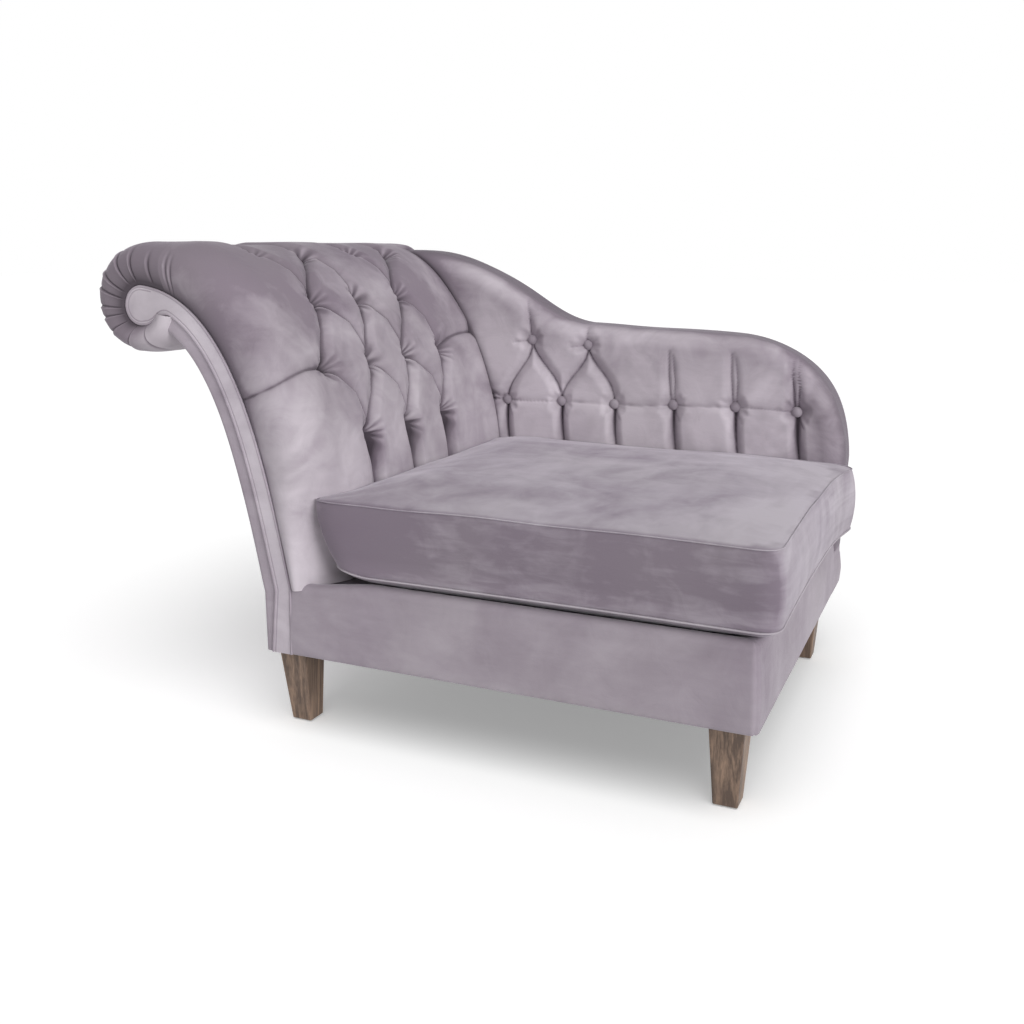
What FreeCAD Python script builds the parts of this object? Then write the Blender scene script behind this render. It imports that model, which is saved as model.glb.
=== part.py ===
import FreeCAD, Part
import math
import os

from FreeCAD import Vector

# A chaise longue with one scrolled, deep-tufted head end, a buttoned arm along its back that sweeps down to
# the foot, a loose box cushion on a webbed seat, and four tapered wooden legs.
# X runs from the head (minus) to the foot (plus), Y from the front (minus) to the back, Z up from the floor.
# The origin is on the floor, in the middle of the length and of the depth. All sizes are in millimetres.

# Whole piece
overall_length = 1290.0
base_depth = 851.0
base_length = 888.0
leg_height = 150.0
base_height = 120.0
seam_gap = 0.3

# Timber and sheet thicknesses
rail_thick = 25.0
head_rail_thick = 20.0
scroll_panel_thick = 25.0
arm_board_thick = 18.0
leg_block_height = 46.0
centre_rail_height = 82.0
rail_height = 96.0
cover_thick = 8.2
outside_cover_thick = 5.0
dust_cover_thick = 1.2
edge_roll_width = 37.0
edge_roll_radius = 11.0

# Scrolled head: the sweep of the facing's inner edge, the padded face in front of it and the roll on top
strip_width = 64.0
facing_width = 33.0
facing_foot_width = 42.0
facing_head_radius = 36.0
facing_head_drop = 114.0
facing_head_inset = 116.0
roll_radius = 100.0
roll_top = 880.0
sweep_lean = 52.0
sweep_rise = 220.0
sweep_reach = 209.0
pad_depth = 65.0
pad_break = 130.0
pad_flat = 78.0
pad_rise = 198.0
pad_reach = 182.0
pad_round = 70.0
pad_swell = 8.0
foam_share = 0.45
throat_angle = -20.0
sweep_level = 0.45
welt_width = 5.0
welt_set = 1.0

# Frame of the scrolled head behind its padding
foot_tuck = 4.0
head_hessian_thick = 1.0
head_web_thick = 2.0
head_web_count = 4
cross_rail_width = 58.0
cross_rail_thick = 22.0
cross_rail_shares = (0.03, 0.42, 0.72)

# The padding's rounded ends are cut into rings at these shares of their depth
ring_steps = (0.3, 0.6, 1.0)
cap_step = 0.03
core_share = -0.3
foam_set_back = 26.0
arm_ring_steps = (0.0, 0.3, 1.0)

# Tufts of the head
tuft_pitch = 148.0
tuft_row_pitch = 137.0
tuft_first_row = 128.0
tuft_centre = -70.0
tuft_depth = 34.0
tuft_radius = 36.0
pleat_depth = 17.0
pleat_half_width = 15.0

# Arm along the back
arm_thick = 107.5
arm_head_reach = 135.0
arm_head_top = 868.0
arm_dip_back = 562.0
arm_dip_top = 700.5
arm_knee_back = 208.0
arm_knee_top = 685.0
arm_end_height = 430.0
arm_end_proud = 15.0
arm_round = 44.0
arm_drop = 40.0
arm_cover_thick = 22.0
arm_top_padding = 24.0
arm_post_width = 45.0
arm_crown_reach = 245.0
arm_dip_run = 130.0
arm_dip_rise = 16.0
arm_saddle_run = 60.0
arm_saddle_sag = 3.0
arm_knee_rise = 6.0
arm_knee_run = 159.0
arm_knee_fall = 16.0
arm_end_bulge = 127.0
arm_foam_share = 0.7
arm_board_margin = 10.0
outside_inset = 9.0

# Buttons of the arm
button_count = 6
button_first_set = 12.0
button_last_set = 83.5
button_row = 526.0
button_upper_row = 658.0
button_radius = 10.5
button_height = 7.0
button_sink = 18.0
button_pocket_radius = 32.0
button_pleat_share = 0.6
twine_width = 2.0
twine_room = 3.0
toggle_length = 24.0
toggle_width = 8.0
toggle_thick = 5.0

# Seat deck
web_width = 50.0
web_thick = 2.0
web_across_count = 6
web_along_count = 5
hessian_thick = 1.2
deck_cloth_thick = 2.2

# Loose cushion
cushion_side = 126.0
cushion_crown = 20.0
cushion_belly = 38.0
cushion_crown_run = 240.0
cushion_belly_run = 150.0
cushion_ring_shares = (0.0, 0.3, 0.6, 1.0)
cushion_overhang = 28.0
cushion_front_set = 2.0
cushion_waist = 7.0
cushion_corner = 34.0
cushion_cover_thick = 6.0
cushion_lift_gap = 0.5
cushion_end_gap = 2.0

# Legs and their fixings
leg_foot_size = 40.5
leg_top_length = 59.0
leg_top_depth = 64.0
leg_outer_flare = 14.0
leg_front_flare = 20.0
leg_setback = 59.0
leg_foot_end_inset = 39.5
leg_head_end_inset = 16.0
glide_thick = 2.5
glide_radius = 14.0
bolt_radius = 4.0
bolt_length = 88.0
tee_nut_radius = 11.0
tee_nut_barrel = 5.5
tee_nut_flange = 1.6
bolt_clearance = 0.2
fixing_room = 8.0
block_depth = 80.0
block_length = 74.0

# Small round parts have this many sides
round_sides = 8
button_sides = 12

# Places worked out from the sizes above
half_length = overall_length / 2
foot_x = half_length - cushion_overhang
head_x = foot_x - base_length
front_y = -base_depth / 2
back_y = base_depth / 2
frame_low = leg_height + dust_cover_thick + 2 * seam_gap
base_top = leg_height + base_height
frame_front = front_y + cover_thick
frame_back = back_y - cover_thick
panel_rear_of_front = frame_front + scroll_panel_thick
panel_front_of_rear = frame_back - scroll_panel_thick
rail_top = frame_low + rail_height
web_mid = rail_top + seam_gap + web_thick + seam_gap / 2
hessian_low = web_mid + web_thick + seam_gap * 1.5
deck_low = hessian_low + hessian_thick
deck_top = base_top
deck_pad_thick = deck_top - deck_low - seam_gap - deck_cloth_thick
pad_foot = base_top + seam_gap
arm_face = frame_back + cover_thick - arm_thick
facing_foot_x = head_x + strip_width - 4.0
head_centre = (-half_length + facing_head_inset, roll_top - facing_head_drop)
roll_centre = (-half_length + roll_radius, roll_top - roll_radius)
deck_edge_x = facing_foot_x + pad_depth
arm_head_x = roll_centre[0] + arm_head_reach
arm_dip_x = foot_x - arm_dip_back
arm_knee_x = foot_x - arm_knee_back
button_first_x = deck_edge_x + button_first_set
button_pitch = (foot_x - button_last_set - button_first_x) / (button_count - 1)
pad_end = arm_face - seam_gap
inner_front = frame_front + rail_thick
inner_back = frame_back - rail_thick
head_out = head_x + outside_cover_thick + seam_gap
foot_out = foot_x - cover_thick
back_layers = 3 * seam_gap + head_hessian_thick + head_web_thick
bolt_low = frame_low + leg_block_height + tee_nut_flange + 2.0 - bolt_length


def at(x, z, y=0.0):
    return Vector(x, y, z)


def block(x0, x1, y0, y1, z0, z1):
    return Part.makeBox(x1 - x0, y1 - y0, z1 - z0, Vector(x0, y0, z0))


def along_y(face, y0, y1):
    moved = face.copy()
    moved.translate(Vector(0, y0, 0))
    return moved.extrude(Vector(0, y1 - y0, 0))


def polygon(points):
    """A flat face in the XZ plane through corner points (x, z)."""
    corners = [at(x, z) for x, z in points]
    return Part.Face(Part.makePolygon(corners + corners[:1]))


def disc(centre, radius):
    ring = Part.Circle(at(*centre), Vector(0, 1, 0), radius)
    return Part.Face(Part.Wire([ring.toShape()]))


def ring_of(point, normal, radius, sides):
    """Corners of a regular polygon round a point, square to a direction."""
    start = Vector(0, 1, 0) if abs(normal.y) < 0.5 else Vector(1, 0, 0)
    across = start.cross(normal)
    across.normalize()
    along = normal.cross(across)
    corners = []
    for step in range(sides):
        turn = 2 * math.pi * (step + 0.5) / sides
        corners.append(point + across * radius * math.cos(turn) + along * radius * math.sin(turn))
    return corners


def solid_of(faces):
    shell = Part.makeShell([Part.Face(Part.makePolygon(f + f[:1])) for f in faces])
    solid = Part.makeSolid(shell)
    return solid if solid.Volume > 0 else solid.reversed()


def tapered(low, high):
    """A flat-sided solid between two rings of corners, or from one corner to a ring."""
    if len(low) == 1:
        sides = [[low[0], high[i - 1], high[i]] for i in range(len(high))]
        return solid_of(sides + [high[::-1]])
    sides = [[low[i - 1], low[i], high[i], high[i - 1]] for i in range(len(high))]
    return solid_of(sides + [low[::-1], high])


def turned(point, normal, low_radius, high_radius, height, sides):
    """A round part with few sides: a peg, a bore, a cone or a button."""
    low = ring_of(point, normal, low_radius, sides) if low_radius else [point]
    return tapered(low, ring_of(point + normal * height, normal, high_radius, sides))


def peg(x, y, z, radius, height, sides=round_sides):
    return turned(Vector(x, y, z), Vector(0, 0, 1), radius, radius, height, sides)


def merged(faces, y0, y1):
    """One solid from faces that overlap or touch, extruded together."""
    solids = [along_y(face, y0, y1) for face in faces]
    return solids[0].fuse(solids[1:]).removeSplitter()


def save(name, shape):
    shape.exportStep(os.path.join("parts", name + ".step"))


# Curves of four poles (x, z): they blend, split and offset without losing their form


def blend(first, second, share):
    return [
        (a[0] + (b[0] - a[0]) * share, a[1] + (b[1] - a[1]) * share)
        for a, b in zip(first, second)
    ]


def straight(start, end):
    return [
        (
            start[0] + (end[0] - start[0]) * step / 3,
            start[1] + (end[1] - start[1]) * step / 3,
        )
        for step in range(4)
    ]


def split(poles, share):
    """The two halves of a curve cut at a share of its parameter."""
    left, right, row = [poles[0]], [poles[3]], poles
    while len(row) > 1:
        row = [
            tuple(a[i] + (b[i] - a[i]) * share for i in (0, 1))
            for a, b in zip(row, row[1:])
        ]
        left.append(row[0])
        right.insert(0, row[-1])
    return left, right


def offset(poles, distance):
    """The curve moved sideways: plus is towards the padded face, minus towards the outside back."""
    lines = []
    for a, b in zip(poles, poles[1:]):
        length = math.hypot(b[0] - a[0], b[1] - a[1])
        along = ((b[0] - a[0]) / length, (b[1] - a[1]) / length)
        side = (along[1] * distance, -along[0] * distance)
        lines.append(((a[0] + side[0], a[1] + side[1]), along))
    moved = [lines[0][0]]
    for (p, u), (q, v) in zip(lines, lines[1:]):
        cross = u[0] * v[1] - u[1] * v[0]
        if abs(cross) < 1e-9:
            moved.append(q)
            continue
        step = ((q[0] - p[0]) * v[1] - (q[1] - p[1]) * v[0]) / cross
        moved.append((p[0] + u[0] * step, p[1] + u[1] * step))
    end, along = lines[-1]
    reach = math.hypot(poles[3][0] - poles[2][0], poles[3][1] - poles[2][1])
    moved.append((end[0] + along[0] * reach, end[1] + along[1] * reach))
    return moved


def on_curve(poles, share):
    return split(poles, share)[0][-1]


def curve(poles, y=0.0, pieces=1):
    """A curve drawn as arcs through its own points, so that it extrudes into plain round faces."""
    count = 2 * pieces
    points = [at(*on_curve(poles, step / count), y) for step in range(count + 1)]
    edges = []
    for a, b, c in zip(points[:-2:2], points[1::2], points[2::2]):
        chord = c - a
        sag = (b - a).cross(chord).Length / chord.Length
        edges.append(Part.makeLine(a, c) if sag < 0.02 else Part.Arc(a, b, c).toShape())
    return edges


# The sweep is the facing's inner edge, from the seat deck up to the top of its round head
sweep = [
    (facing_foot_x, pad_foot),
    (facing_foot_x - sweep_lean, pad_foot + sweep_rise),
    (head_centre[0] + sweep_reach, head_centre[1] + facing_head_radius * sweep_level),
    (head_centre[0], head_centre[1] + facing_head_radius),
]
sweep_shares = (0.24, 0.84)
sweep_pieces = (1, 3, 1)


def in_three(poles):
    """The sweep or an offset of it, cut where the padded face changes from flat to bent and back."""
    low, rest = split(poles, sweep_shares[0])
    return [low] + list(split(rest, sweep_shares[1]))


def swept(distance, y=0.0):
    """Edges of the sweep at an offset, from its foot to its head."""
    edges = []
    for poles, pieces in zip(in_three(offset(sweep, distance)), sweep_pieces):
        edges += curve(poles, y, pieces)
    return edges


def start_of(edges):
    return edges[0].firstVertex(True).Point


def end_of(edges):
    return edges[-1].lastVertex(True).Point


def closed(edges):
    """A wire of edges that run round in order, with lines put in where they don't meet."""
    joined = []
    for edge, following in zip(edges, edges[1:] + edges[:1]):
        joined.append(edge)
        a, b = edge.lastVertex(True).Point, following.firstVertex(True).Point
        if a.distanceToPoint(b) > 1e-6:
            joined.append(Part.makeLine(a, b))
    return Part.Wire(joined)


def turned_back(edges):
    """The same edges run the other way."""
    back = []
    for edge in edges[::-1]:
        flipped = edge.copy()
        flipped.reverse()
        back.append(flipped)
    return back


sweep_low, sweep_mid, sweep_high = in_three(sweep)

# The padded face stands in front of the sweep and runs over the top of the roll
pad_low = straight((deck_edge_x, pad_foot), (deck_edge_x, pad_foot + pad_break))
pad_mid = [
    (deck_edge_x, pad_foot + pad_break),
    (deck_edge_x - 4.0, pad_foot + pad_break + pad_rise),
    (roll_centre[0] + pad_flat + pad_reach, roll_top + pad_swell),
    (roll_centre[0] + pad_flat, roll_top),
]
pad_high = straight((roll_centre[0] + pad_flat, roll_top), (roll_centre[0], roll_top))


def round_poles(share):
    """Centre and radius of the scroll's round at a share of the padding."""
    centre = blend([head_centre], [roll_centre], share)[0]
    return centre, facing_head_radius + (roll_radius - facing_head_radius) * share


def outline(share, y):
    """Edges from the deck up the padded face and round the scroll to its throat, at a share of the padding."""
    edges = []
    pairs = ((sweep_low, pad_low), (sweep_mid, pad_mid), (sweep_high, pad_high))
    for (bare, padded), pieces in zip(pairs, sweep_pieces):
        edges += curve(blend(bare, padded, share), y, pieces)
    centre, radius = round_poles(share)

    def spoke(angle):
        turn = math.radians(angle)
        return at(centre[0] + radius * math.cos(turn), centre[1] + radius * math.sin(turn), y)

    stops = [90 + (270 + throat_angle) * step / 6 for step in range(7)]
    for a, b, c in zip(stops[:-2:2], stops[1::2], stops[2::2]):
        edges.append(Part.Arc(spoke(a), spoke(b), spoke(c)).toShape())
    return edges


def between(inner, outer, y):
    """A closed wire between two shares of the padding."""
    return closed(outline(outer, y) + turned_back(outline(inner, y)))


def loft(wires):
    return Part.makeLoft(wires, True, True)


def fullness(y):
    """How far the padding has grown at a distance behind the front: a quarter of an ellipse."""
    depth = min(1.0, (y - front_y) / pad_round)
    return math.sqrt(max(0.0, 1 - (1 - depth) ** 2))


def ring_places():
    """Front to back places at which the padding's rounded front is cut into rings."""
    steps = [cover_thick / pad_round] + list(ring_steps)
    return [front_y + pad_round * step for step in steps]


def spine(clearance):
    """The space of the scroll's strip and round, which the padding wraps, with a clearance round it."""
    strip = closed(swept(clearance) + turned_back(swept(-strip_width - seam_gap)))
    faces = [Part.Face(strip), disc(head_centre, facing_head_radius + clearance)]
    return [along_y(face, 2 * front_y, 2 * back_y) for face in faces]


def rounded_end(places, sign):
    """Padding from the core out to its full depth, growing behind the front (1) or the back (-1) edge."""
    wires = [between(core_share, fullness(y), sign * y) for y in places]
    return loft(wires)


def behind_arm(shape):
    """The part of a shape that lies left of the arm's head, at the back end of the roll."""
    return shape.common(block(-overall_length, arm_head_x, pad_end, overall_length, 0, 2 * roll_top))


def pocket(point, normal, depth, radius, seat=0.0):
    """The hollow that a tuft pulls into the padding: a cone sunk under the surface, flat where a button sits."""
    rise = depth * 0.7
    top = seat + (radius - seat) * (depth + rise) / depth
    return turned(point - normal * depth, normal, seat, top, depth + rise, round_sides)


def pleat(start, end, normal, depth, half_width):
    """A V-shaped groove between two points on the surface."""
    run = end - start
    spread = 2.2
    across = run.cross(normal)
    across.normalize()
    deep = start - normal * depth
    left = start + normal * depth * (spread - 1) - across * half_width * spread
    right = start + normal * depth * (spread - 1) + across * half_width * spread
    return Part.Face(Part.makePolygon([deep, left, right, deep])).extrude(run)


def facing_faces(inset):
    """The S-shaped facing, wider at its foot, with its round head, as faces to be merged."""
    near, far = swept(-inset), swept(inset - facing_width)
    blade = Part.Face(closed(near + turned_back(far)))
    top_in, top_out = start_of(near), start_of(far)
    foot = polygon(
        [
            (facing_foot_x - inset, leg_height),
            (top_in.x, top_in.z),
            (top_out.x, top_out.z),
            (facing_foot_x + inset - facing_foot_width, leg_height),
        ]
    )
    return [blade, foot, disc(head_centre, facing_head_radius - inset)]


def strip_face(inner, outer, low):
    """The S between two offsets of the sweep, down to a height."""
    near, far = swept(inner), swept(outer)
    corner_near, corner_far = start_of(near), start_of(far)
    foot = [
        Part.makeLine(corner_far, at(corner_far.x + foot_tuck, low)),
        Part.makeLine(at(corner_far.x + foot_tuck, low), at(corner_near.x, low)),
        Part.makeLine(at(corner_near.x, low), corner_near),
    ]
    return Part.Face(closed(near + turned_back(far) + foot))


def base_frame():
    """Front, back, head, foot and centre rails with the leg blocks behind their corners."""
    foot_in = foot_out - rail_thick
    head_in = head_out + head_rail_thick
    front = block(facing_foot_x, foot_out, frame_front, inner_front, frame_low, rail_top)
    back = block(facing_foot_x, foot_out, inner_back, frame_back, frame_low, rail_top)
    save("front_rail", front)
    save("back_rail", back)
    save("foot_rail", block(foot_in, foot_out, inner_front, inner_back, frame_low, rail_top))
    head_rail = block(head_out, head_in, inner_front, inner_back, frame_low, rail_top)
    blocks = leg_blocks(foot_in)
    for side in (-1, 1):
        end = inner_back * side
        notch = sorted((end, end - side * (block_depth + seam_gap)))
        top = frame_low + leg_block_height + fixing_room
        head_rail = head_rail.cut(block(head_out, head_in, notch[0], notch[1], frame_low, top))
    save("head_rail", head_rail)
    middle = (head_x + foot_x) / 2
    save(
        "centre_rail",
        block(
            middle - rail_thick / 2,
            middle + rail_thick / 2,
            inner_front,
            inner_back,
            frame_low,
            frame_low + centre_rail_height,
        ),
    )
    save("leg_blocks", Part.makeCompound(blocks))


def leg_places():
    """Name, bottom corner box and the two outward directions of each leg."""
    x_foot = foot_x - leg_foot_end_inset - leg_foot_size
    x_head = head_x + leg_head_end_inset
    y_front = front_y + leg_setback
    y_back = back_y - leg_setback - leg_foot_size
    return [
        ("leg_front_head", x_head, y_front, -1, -1),
        ("leg_front_foot", x_foot, y_front, 1, -1),
        ("leg_back_head", x_head, y_back, -1, 1),
        ("leg_back_foot", x_foot, y_back, 1, 1),
    ]


def leg_top_span(low, size, top, flare, direction):
    """Low and high side of a leg's top, flared by more on its outer side."""
    spare = top - size - flare
    if direction < 0:
        return low - flare, low + size + spare
    return low - spare, low + size + flare


def leg_axes():
    """The line of each leg's bolt, at the middle of the leg's top."""
    lines = []
    for _, x, y, dx, dy in leg_places():
        x0, x1 = leg_top_span(x, leg_foot_size, leg_top_length, leg_outer_flare, dx)
        y0, y1 = leg_top_span(y, leg_foot_size, leg_top_depth, leg_front_flare, dy)
        lines.append(((x0 + x1) / 2, (y0 + y1) / 2))
    return lines


def leg_blocks(foot_in):
    blocks = []
    low, high = frame_low, frame_low + leg_block_height
    for (_, _, _, dx, dy), (bx, by) in zip(leg_places(), leg_axes()):
        x0 = head_out if dx < 0 else foot_in - block_length
        y0 = inner_front if dy < 0 else inner_back - block_depth
        solid = block(x0, x0 + block_length, y0, y0 + block_depth, low, high)
        bore = peg(bx, by, low - 1.0, tee_nut_barrel + bolt_clearance, leg_block_height + 2.0)
        blocks.append(solid.cut(bore))
    return blocks


def legs():
    """Tapered square legs, each bored for its hanger bolt."""
    for (name, x, y, dx, dy), (bx, by) in zip(leg_places(), leg_axes()):
        x0, x1 = leg_top_span(x, leg_foot_size, leg_top_length, leg_outer_flare, dx)
        y0, y1 = leg_top_span(y, leg_foot_size, leg_top_depth, leg_front_flare, dy)
        foot = [
            Vector(x, y, glide_thick),
            Vector(x + leg_foot_size, y, glide_thick),
            Vector(x + leg_foot_size, y + leg_foot_size, glide_thick),
            Vector(x, y + leg_foot_size, glide_thick),
        ]
        top = [
            Vector(x0, y0, leg_height),
            Vector(x1, y0, leg_height),
            Vector(x1, y1, leg_height),
            Vector(x0, y1, leg_height),
        ]
        bore_low = bolt_low - bolt_clearance
        bore = peg(bx, by, bore_low, bolt_radius + bolt_clearance, leg_height - bore_low + 1.0)
        save(name, tapered(foot, top).cut(bore))


def leg_fixings():
    """Hanger bolts, the tee nuts that take them in the blocks, and the glides under the feet."""
    bolts, nuts, glides = [], [], []
    block_top = frame_low + leg_block_height
    for (_, x, y, _, _), (bx, by) in zip(leg_places(), leg_axes()):
        bolts.append(peg(bx, by, bolt_low, bolt_radius, bolt_length))
        barrel_height = leg_block_height * 0.3
        barrel = peg(bx, by, block_top - barrel_height, tee_nut_barrel, barrel_height)
        flange = peg(bx, by, block_top, tee_nut_radius, tee_nut_flange)
        bore = peg(bx, by, frame_low, bolt_radius + bolt_clearance, 2 * leg_block_height)
        nuts.append(barrel.fuse(flange).removeSplitter().cut(bore))
        middle = (x + leg_foot_size / 2, y + leg_foot_size / 2)
        glides.append(peg(*middle, 0, glide_radius, glide_thick, button_sides))
    save("leg_bolts", Part.makeCompound(bolts))
    save("tee_nuts", Part.makeCompound(nuts))
    save("leg_glides", Part.makeCompound(glides))


def dust_cover():
    """Black cloth under the seat, with holes for the bolts."""
    low = leg_height + seam_gap
    sheet = block(head_out, foot_out, frame_front, frame_back, low, low + dust_cover_thick)
    holes = [
        peg(bx, by, low - dust_cover_thick, tee_nut_barrel, dust_cover_thick * 3)
        for bx, by in leg_axes()
    ]
    save("dust_cover", sheet.cut(holes))


def strap(places, overs, start, end, make):
    """One strap: flat on the rails at both ends, over and under the straps that it crosses."""
    low_end = rail_top + seam_gap
    half = web_width / 2 + 4.0
    step = web_thick / 2 + seam_gap / 2
    line = [(start, low_end)]
    first = places[0] - half - 18.0
    line.append((first - 10.0, low_end))
    for place, over in zip(places, overs):
        height = web_mid + (step if over else -step) - web_thick / 2
        line.append((place - half, height))
        line.append((place + half, height))
    last = places[-1] + half + 18.0
    line.append((last + 10.0, low_end))
    line.append((end, low_end))
    upper = [(a, b + web_thick) for a, b in line]
    return make(line + upper[::-1])


def spread(count, low, high):
    """Even places for a count of straps between two ends, half a pitch in from each."""
    pitch = (high - low) / count
    return [low + pitch * (index + 0.5) for index in range(count)]


def strap_places():
    """Middles of the straps that run from front to back, which leave room for the arm's foot post."""
    return spread(web_across_count, deck_edge_x, foot_out - rail_thick - arm_post_width - 5.0)


def seat_webbing():
    """Elastic webbing, woven, stapled on top of the rails."""
    x_places = strap_places()
    y_places = spread(web_along_count, inner_front, arm_face)
    on_rail = rail_thick * 0.8

    def across_face(x):
        def make(line):
            points = [Vector(x - web_width / 2, a, b) for a, b in line]
            return Part.Face(Part.makePolygon(points + points[:1])).extrude(Vector(web_width, 0, 0))

        return make

    def along_face(y):
        def make(line):
            points = [Vector(a, y - web_width / 2, b) for a, b in line]
            return Part.Face(Part.makePolygon(points + points[:1])).extrude(Vector(0, web_width, 0))

        return make

    across = []
    for i, x in enumerate(x_places):
        overs = [(i + j) % 2 == 0 for j in range(web_along_count)]
        across.append(
            strap(y_places, overs, inner_front - on_rail, inner_back + on_rail, across_face(x))
        )
    along = []
    for j, y in enumerate(y_places):
        overs = [(i + j) % 2 == 1 for i in range(web_across_count)]
        along.append(
            strap(x_places, overs, head_out, foot_out - rail_thick * 0.2, along_face(y))
        )
    save("webbing_across", Part.makeCompound(across))
    save("webbing_along", Part.makeCompound(along))


def deck_layers():
    """Hessian over the webbing, then the thin deck pad and the platform cloth, which run under the head's pad."""
    y0, y1 = frame_front + rail_thick / 2, inner_back - arm_board_thick - seam_gap
    x0, x1 = facing_foot_x + seam_gap, foot_out - rail_thick / 2
    save("seat_hessian", block(x0, x1, y0, y1, hessian_low, deck_low - seam_gap))
    x1 = foot_out - edge_roll_width - seam_gap
    y0, y1 = frame_front + edge_roll_width + seam_gap, arm_face - seam_gap
    cloth_low = deck_low + deck_pad_thick + seam_gap
    save("deck_pad", block(x0, x1, y0, y1, deck_low, cloth_low - seam_gap))
    save("deck_cloth", block(x0, x1, y0, y1, cloth_low, cloth_low + deck_cloth_thick))


def base_covers():
    """The padded front and foot panels, each turned over the rail's top edge."""
    skin = cover_thick - seam_gap
    reach = cover_thick + edge_roll_width
    turn = base_top - edge_roll_radius
    slant = edge_roll_radius * math.sqrt(0.5)

    def section(place):
        """An upright panel with a rounded turn at its top, from its outer face (depth 0) inwards."""
        arc = [(0, turn), (edge_roll_radius - slant, turn + slant), (edge_roll_radius, base_top)]
        corners = [
            (edge_roll_radius, base_top),
            (reach, base_top),
            (reach, deck_low),
            (skin, deck_low),
            (skin, leg_height),
            (0, leg_height),
            (0, turn),
        ]
        points = [place(*corner) for corner in corners]
        edges = [Part.makeLine(p, q) for p, q in zip(points, points[1:])]
        bend = Part.Arc(*[place(*point) for point in arc]).toShape()
        return Part.Face(Part.Wire([bend] + edges))

    front_x = facing_foot_x + seam_gap
    front = section(lambda depth, z: Vector(front_x, front_y + depth, z))
    save("front_cover", front.extrude(Vector(foot_x - front_x, 0, 0)))
    y0, y1 = front_y + reach + seam_gap, arm_face - seam_gap
    foot = section(lambda depth, z: Vector(foot_x - depth, y0, z)).extrude(Vector(0, y1 - y0, 0))
    upright = block(foot_x - skin, foot_x, frame_front, y0, leg_height, deck_low - seam_gap)
    save("foot_cover", foot.fuse(upright).removeSplitter())


def scroll_frame():
    """The two S-shaped scroll panels and the pole and rails that join them."""
    panel_depth = strip_width - outside_cover_thick - seam_gap
    blade = strip_face(-seam_gap, -panel_depth, frame_low)
    faces = [blade, disc(head_centre, facing_head_radius - seam_gap)]
    save("scroll_panel_front", merged(faces, frame_front, panel_rear_of_front))
    save("scroll_panel_back", merged(faces, panel_front_of_rear, frame_back))
    pole_radius = facing_head_radius - back_layers
    pole = along_y(disc(head_centre, pole_radius), panel_rear_of_front, panel_front_of_rear)
    save("scroll_pole", pole)
    save("scroll_cross_rails", Part.makeCompound([cross_bar(share) for share in cross_rail_shares]))


def cross_bar(share):
    """A flat rail whose face lies on a chord of the sweep, so that the curve bows away from it."""
    poles = offset(sweep, -back_layers)
    start = on_curve(poles, share)
    low, high = share, 1.0
    for _ in range(40):
        middle = (low + high) / 2
        if math.dist(start, on_curve(poles, middle)) < cross_rail_width:
            low = middle
        else:
            high = middle
    end = on_curve(poles, low)
    along = ((end[0] - start[0]) / cross_rail_width, (end[1] - start[1]) / cross_rail_width)
    out = (-along[1] * cross_rail_thick, along[0] * cross_rail_thick)
    corners = [start, end, (end[0] + out[0], end[1] + out[1]), (start[0] + out[0], start[1] + out[1])]
    return along_y(polygon(corners), panel_rear_of_front, panel_front_of_rear)


def head_backing():
    """Webbing straps up the back of the scroll and hessian over them, to carry the padding."""
    y0, y1 = panel_rear_of_front + seam_gap, panel_front_of_rear - seam_gap

    def layer(near, far):
        return Part.Face(closed(swept(-near) + turned_back(swept(-far))))

    hessian = layer(seam_gap, seam_gap + head_hessian_thick)
    save("head_hessian", along_y(hessian, y0, y1))
    near = 2 * seam_gap + head_hessian_thick
    web = layer(near, near + head_web_thick)
    straps = [
        along_y(web, y - web_width / 2, y + web_width / 2) for y in spread(head_web_count, y0, y1)
    ]
    save("head_webbing", Part.makeCompound(straps))


def roll_room(radius):
    """The round space of the roll, which the outside cover and its border stop short of."""
    return along_y(disc(roll_centre, radius + seam_gap), 2 * front_y, 2 * back_y)


def head_shell():
    """The outside back of the scroll, turned round both panels to the facings."""
    skin = strip_face(outside_cover_thick - strip_width, -strip_width, leg_height)
    turn = strip_face(-facing_width - seam_gap, -strip_width, leg_height)
    knee = start_of(swept(-facing_width))
    foot_clear = polygon(
        [
            (facing_foot_x - facing_foot_width - seam_gap, leg_height),
            (knee.x - seam_gap, knee.z),
            (facing_foot_x, knee.z),
            (facing_foot_x, leg_height),
        ]
    )
    turn = turn.cut(foot_clear)
    set_back = 3.0
    body = along_y(skin, frame_front - seam_gap, frame_back + seam_gap).cut(roll_room(roll_radius))
    cap_radius = round_poles(fullness(frame_front))[1]
    front = along_y(turn, front_y + set_back, frame_front - seam_gap).cut(roll_room(cap_radius))
    back = along_y(turn, frame_back + seam_gap, back_y - set_back).cut(roll_room(cap_radius))
    save("head_outside_cover", body.fuse([front, back]).removeSplitter())


def facings():
    """The S-shaped facings over both scroll panels, each with its welt round the edge."""
    depth = cover_thick - seam_gap
    for side, y0, y1 in (
        ("front", front_y, front_y + depth),
        ("back", back_y - depth, back_y),
    ):
        pad = merged(facing_faces(welt_width), y0, y1)
        low = y0 + (welt_set if side == "front" else 0.0)
        edge = merged(facing_faces(0.0), low, low + depth - welt_set).cut(pad)
        save("facing_" + side, pad)
        save("facing_welt_" + side, edge)


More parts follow.
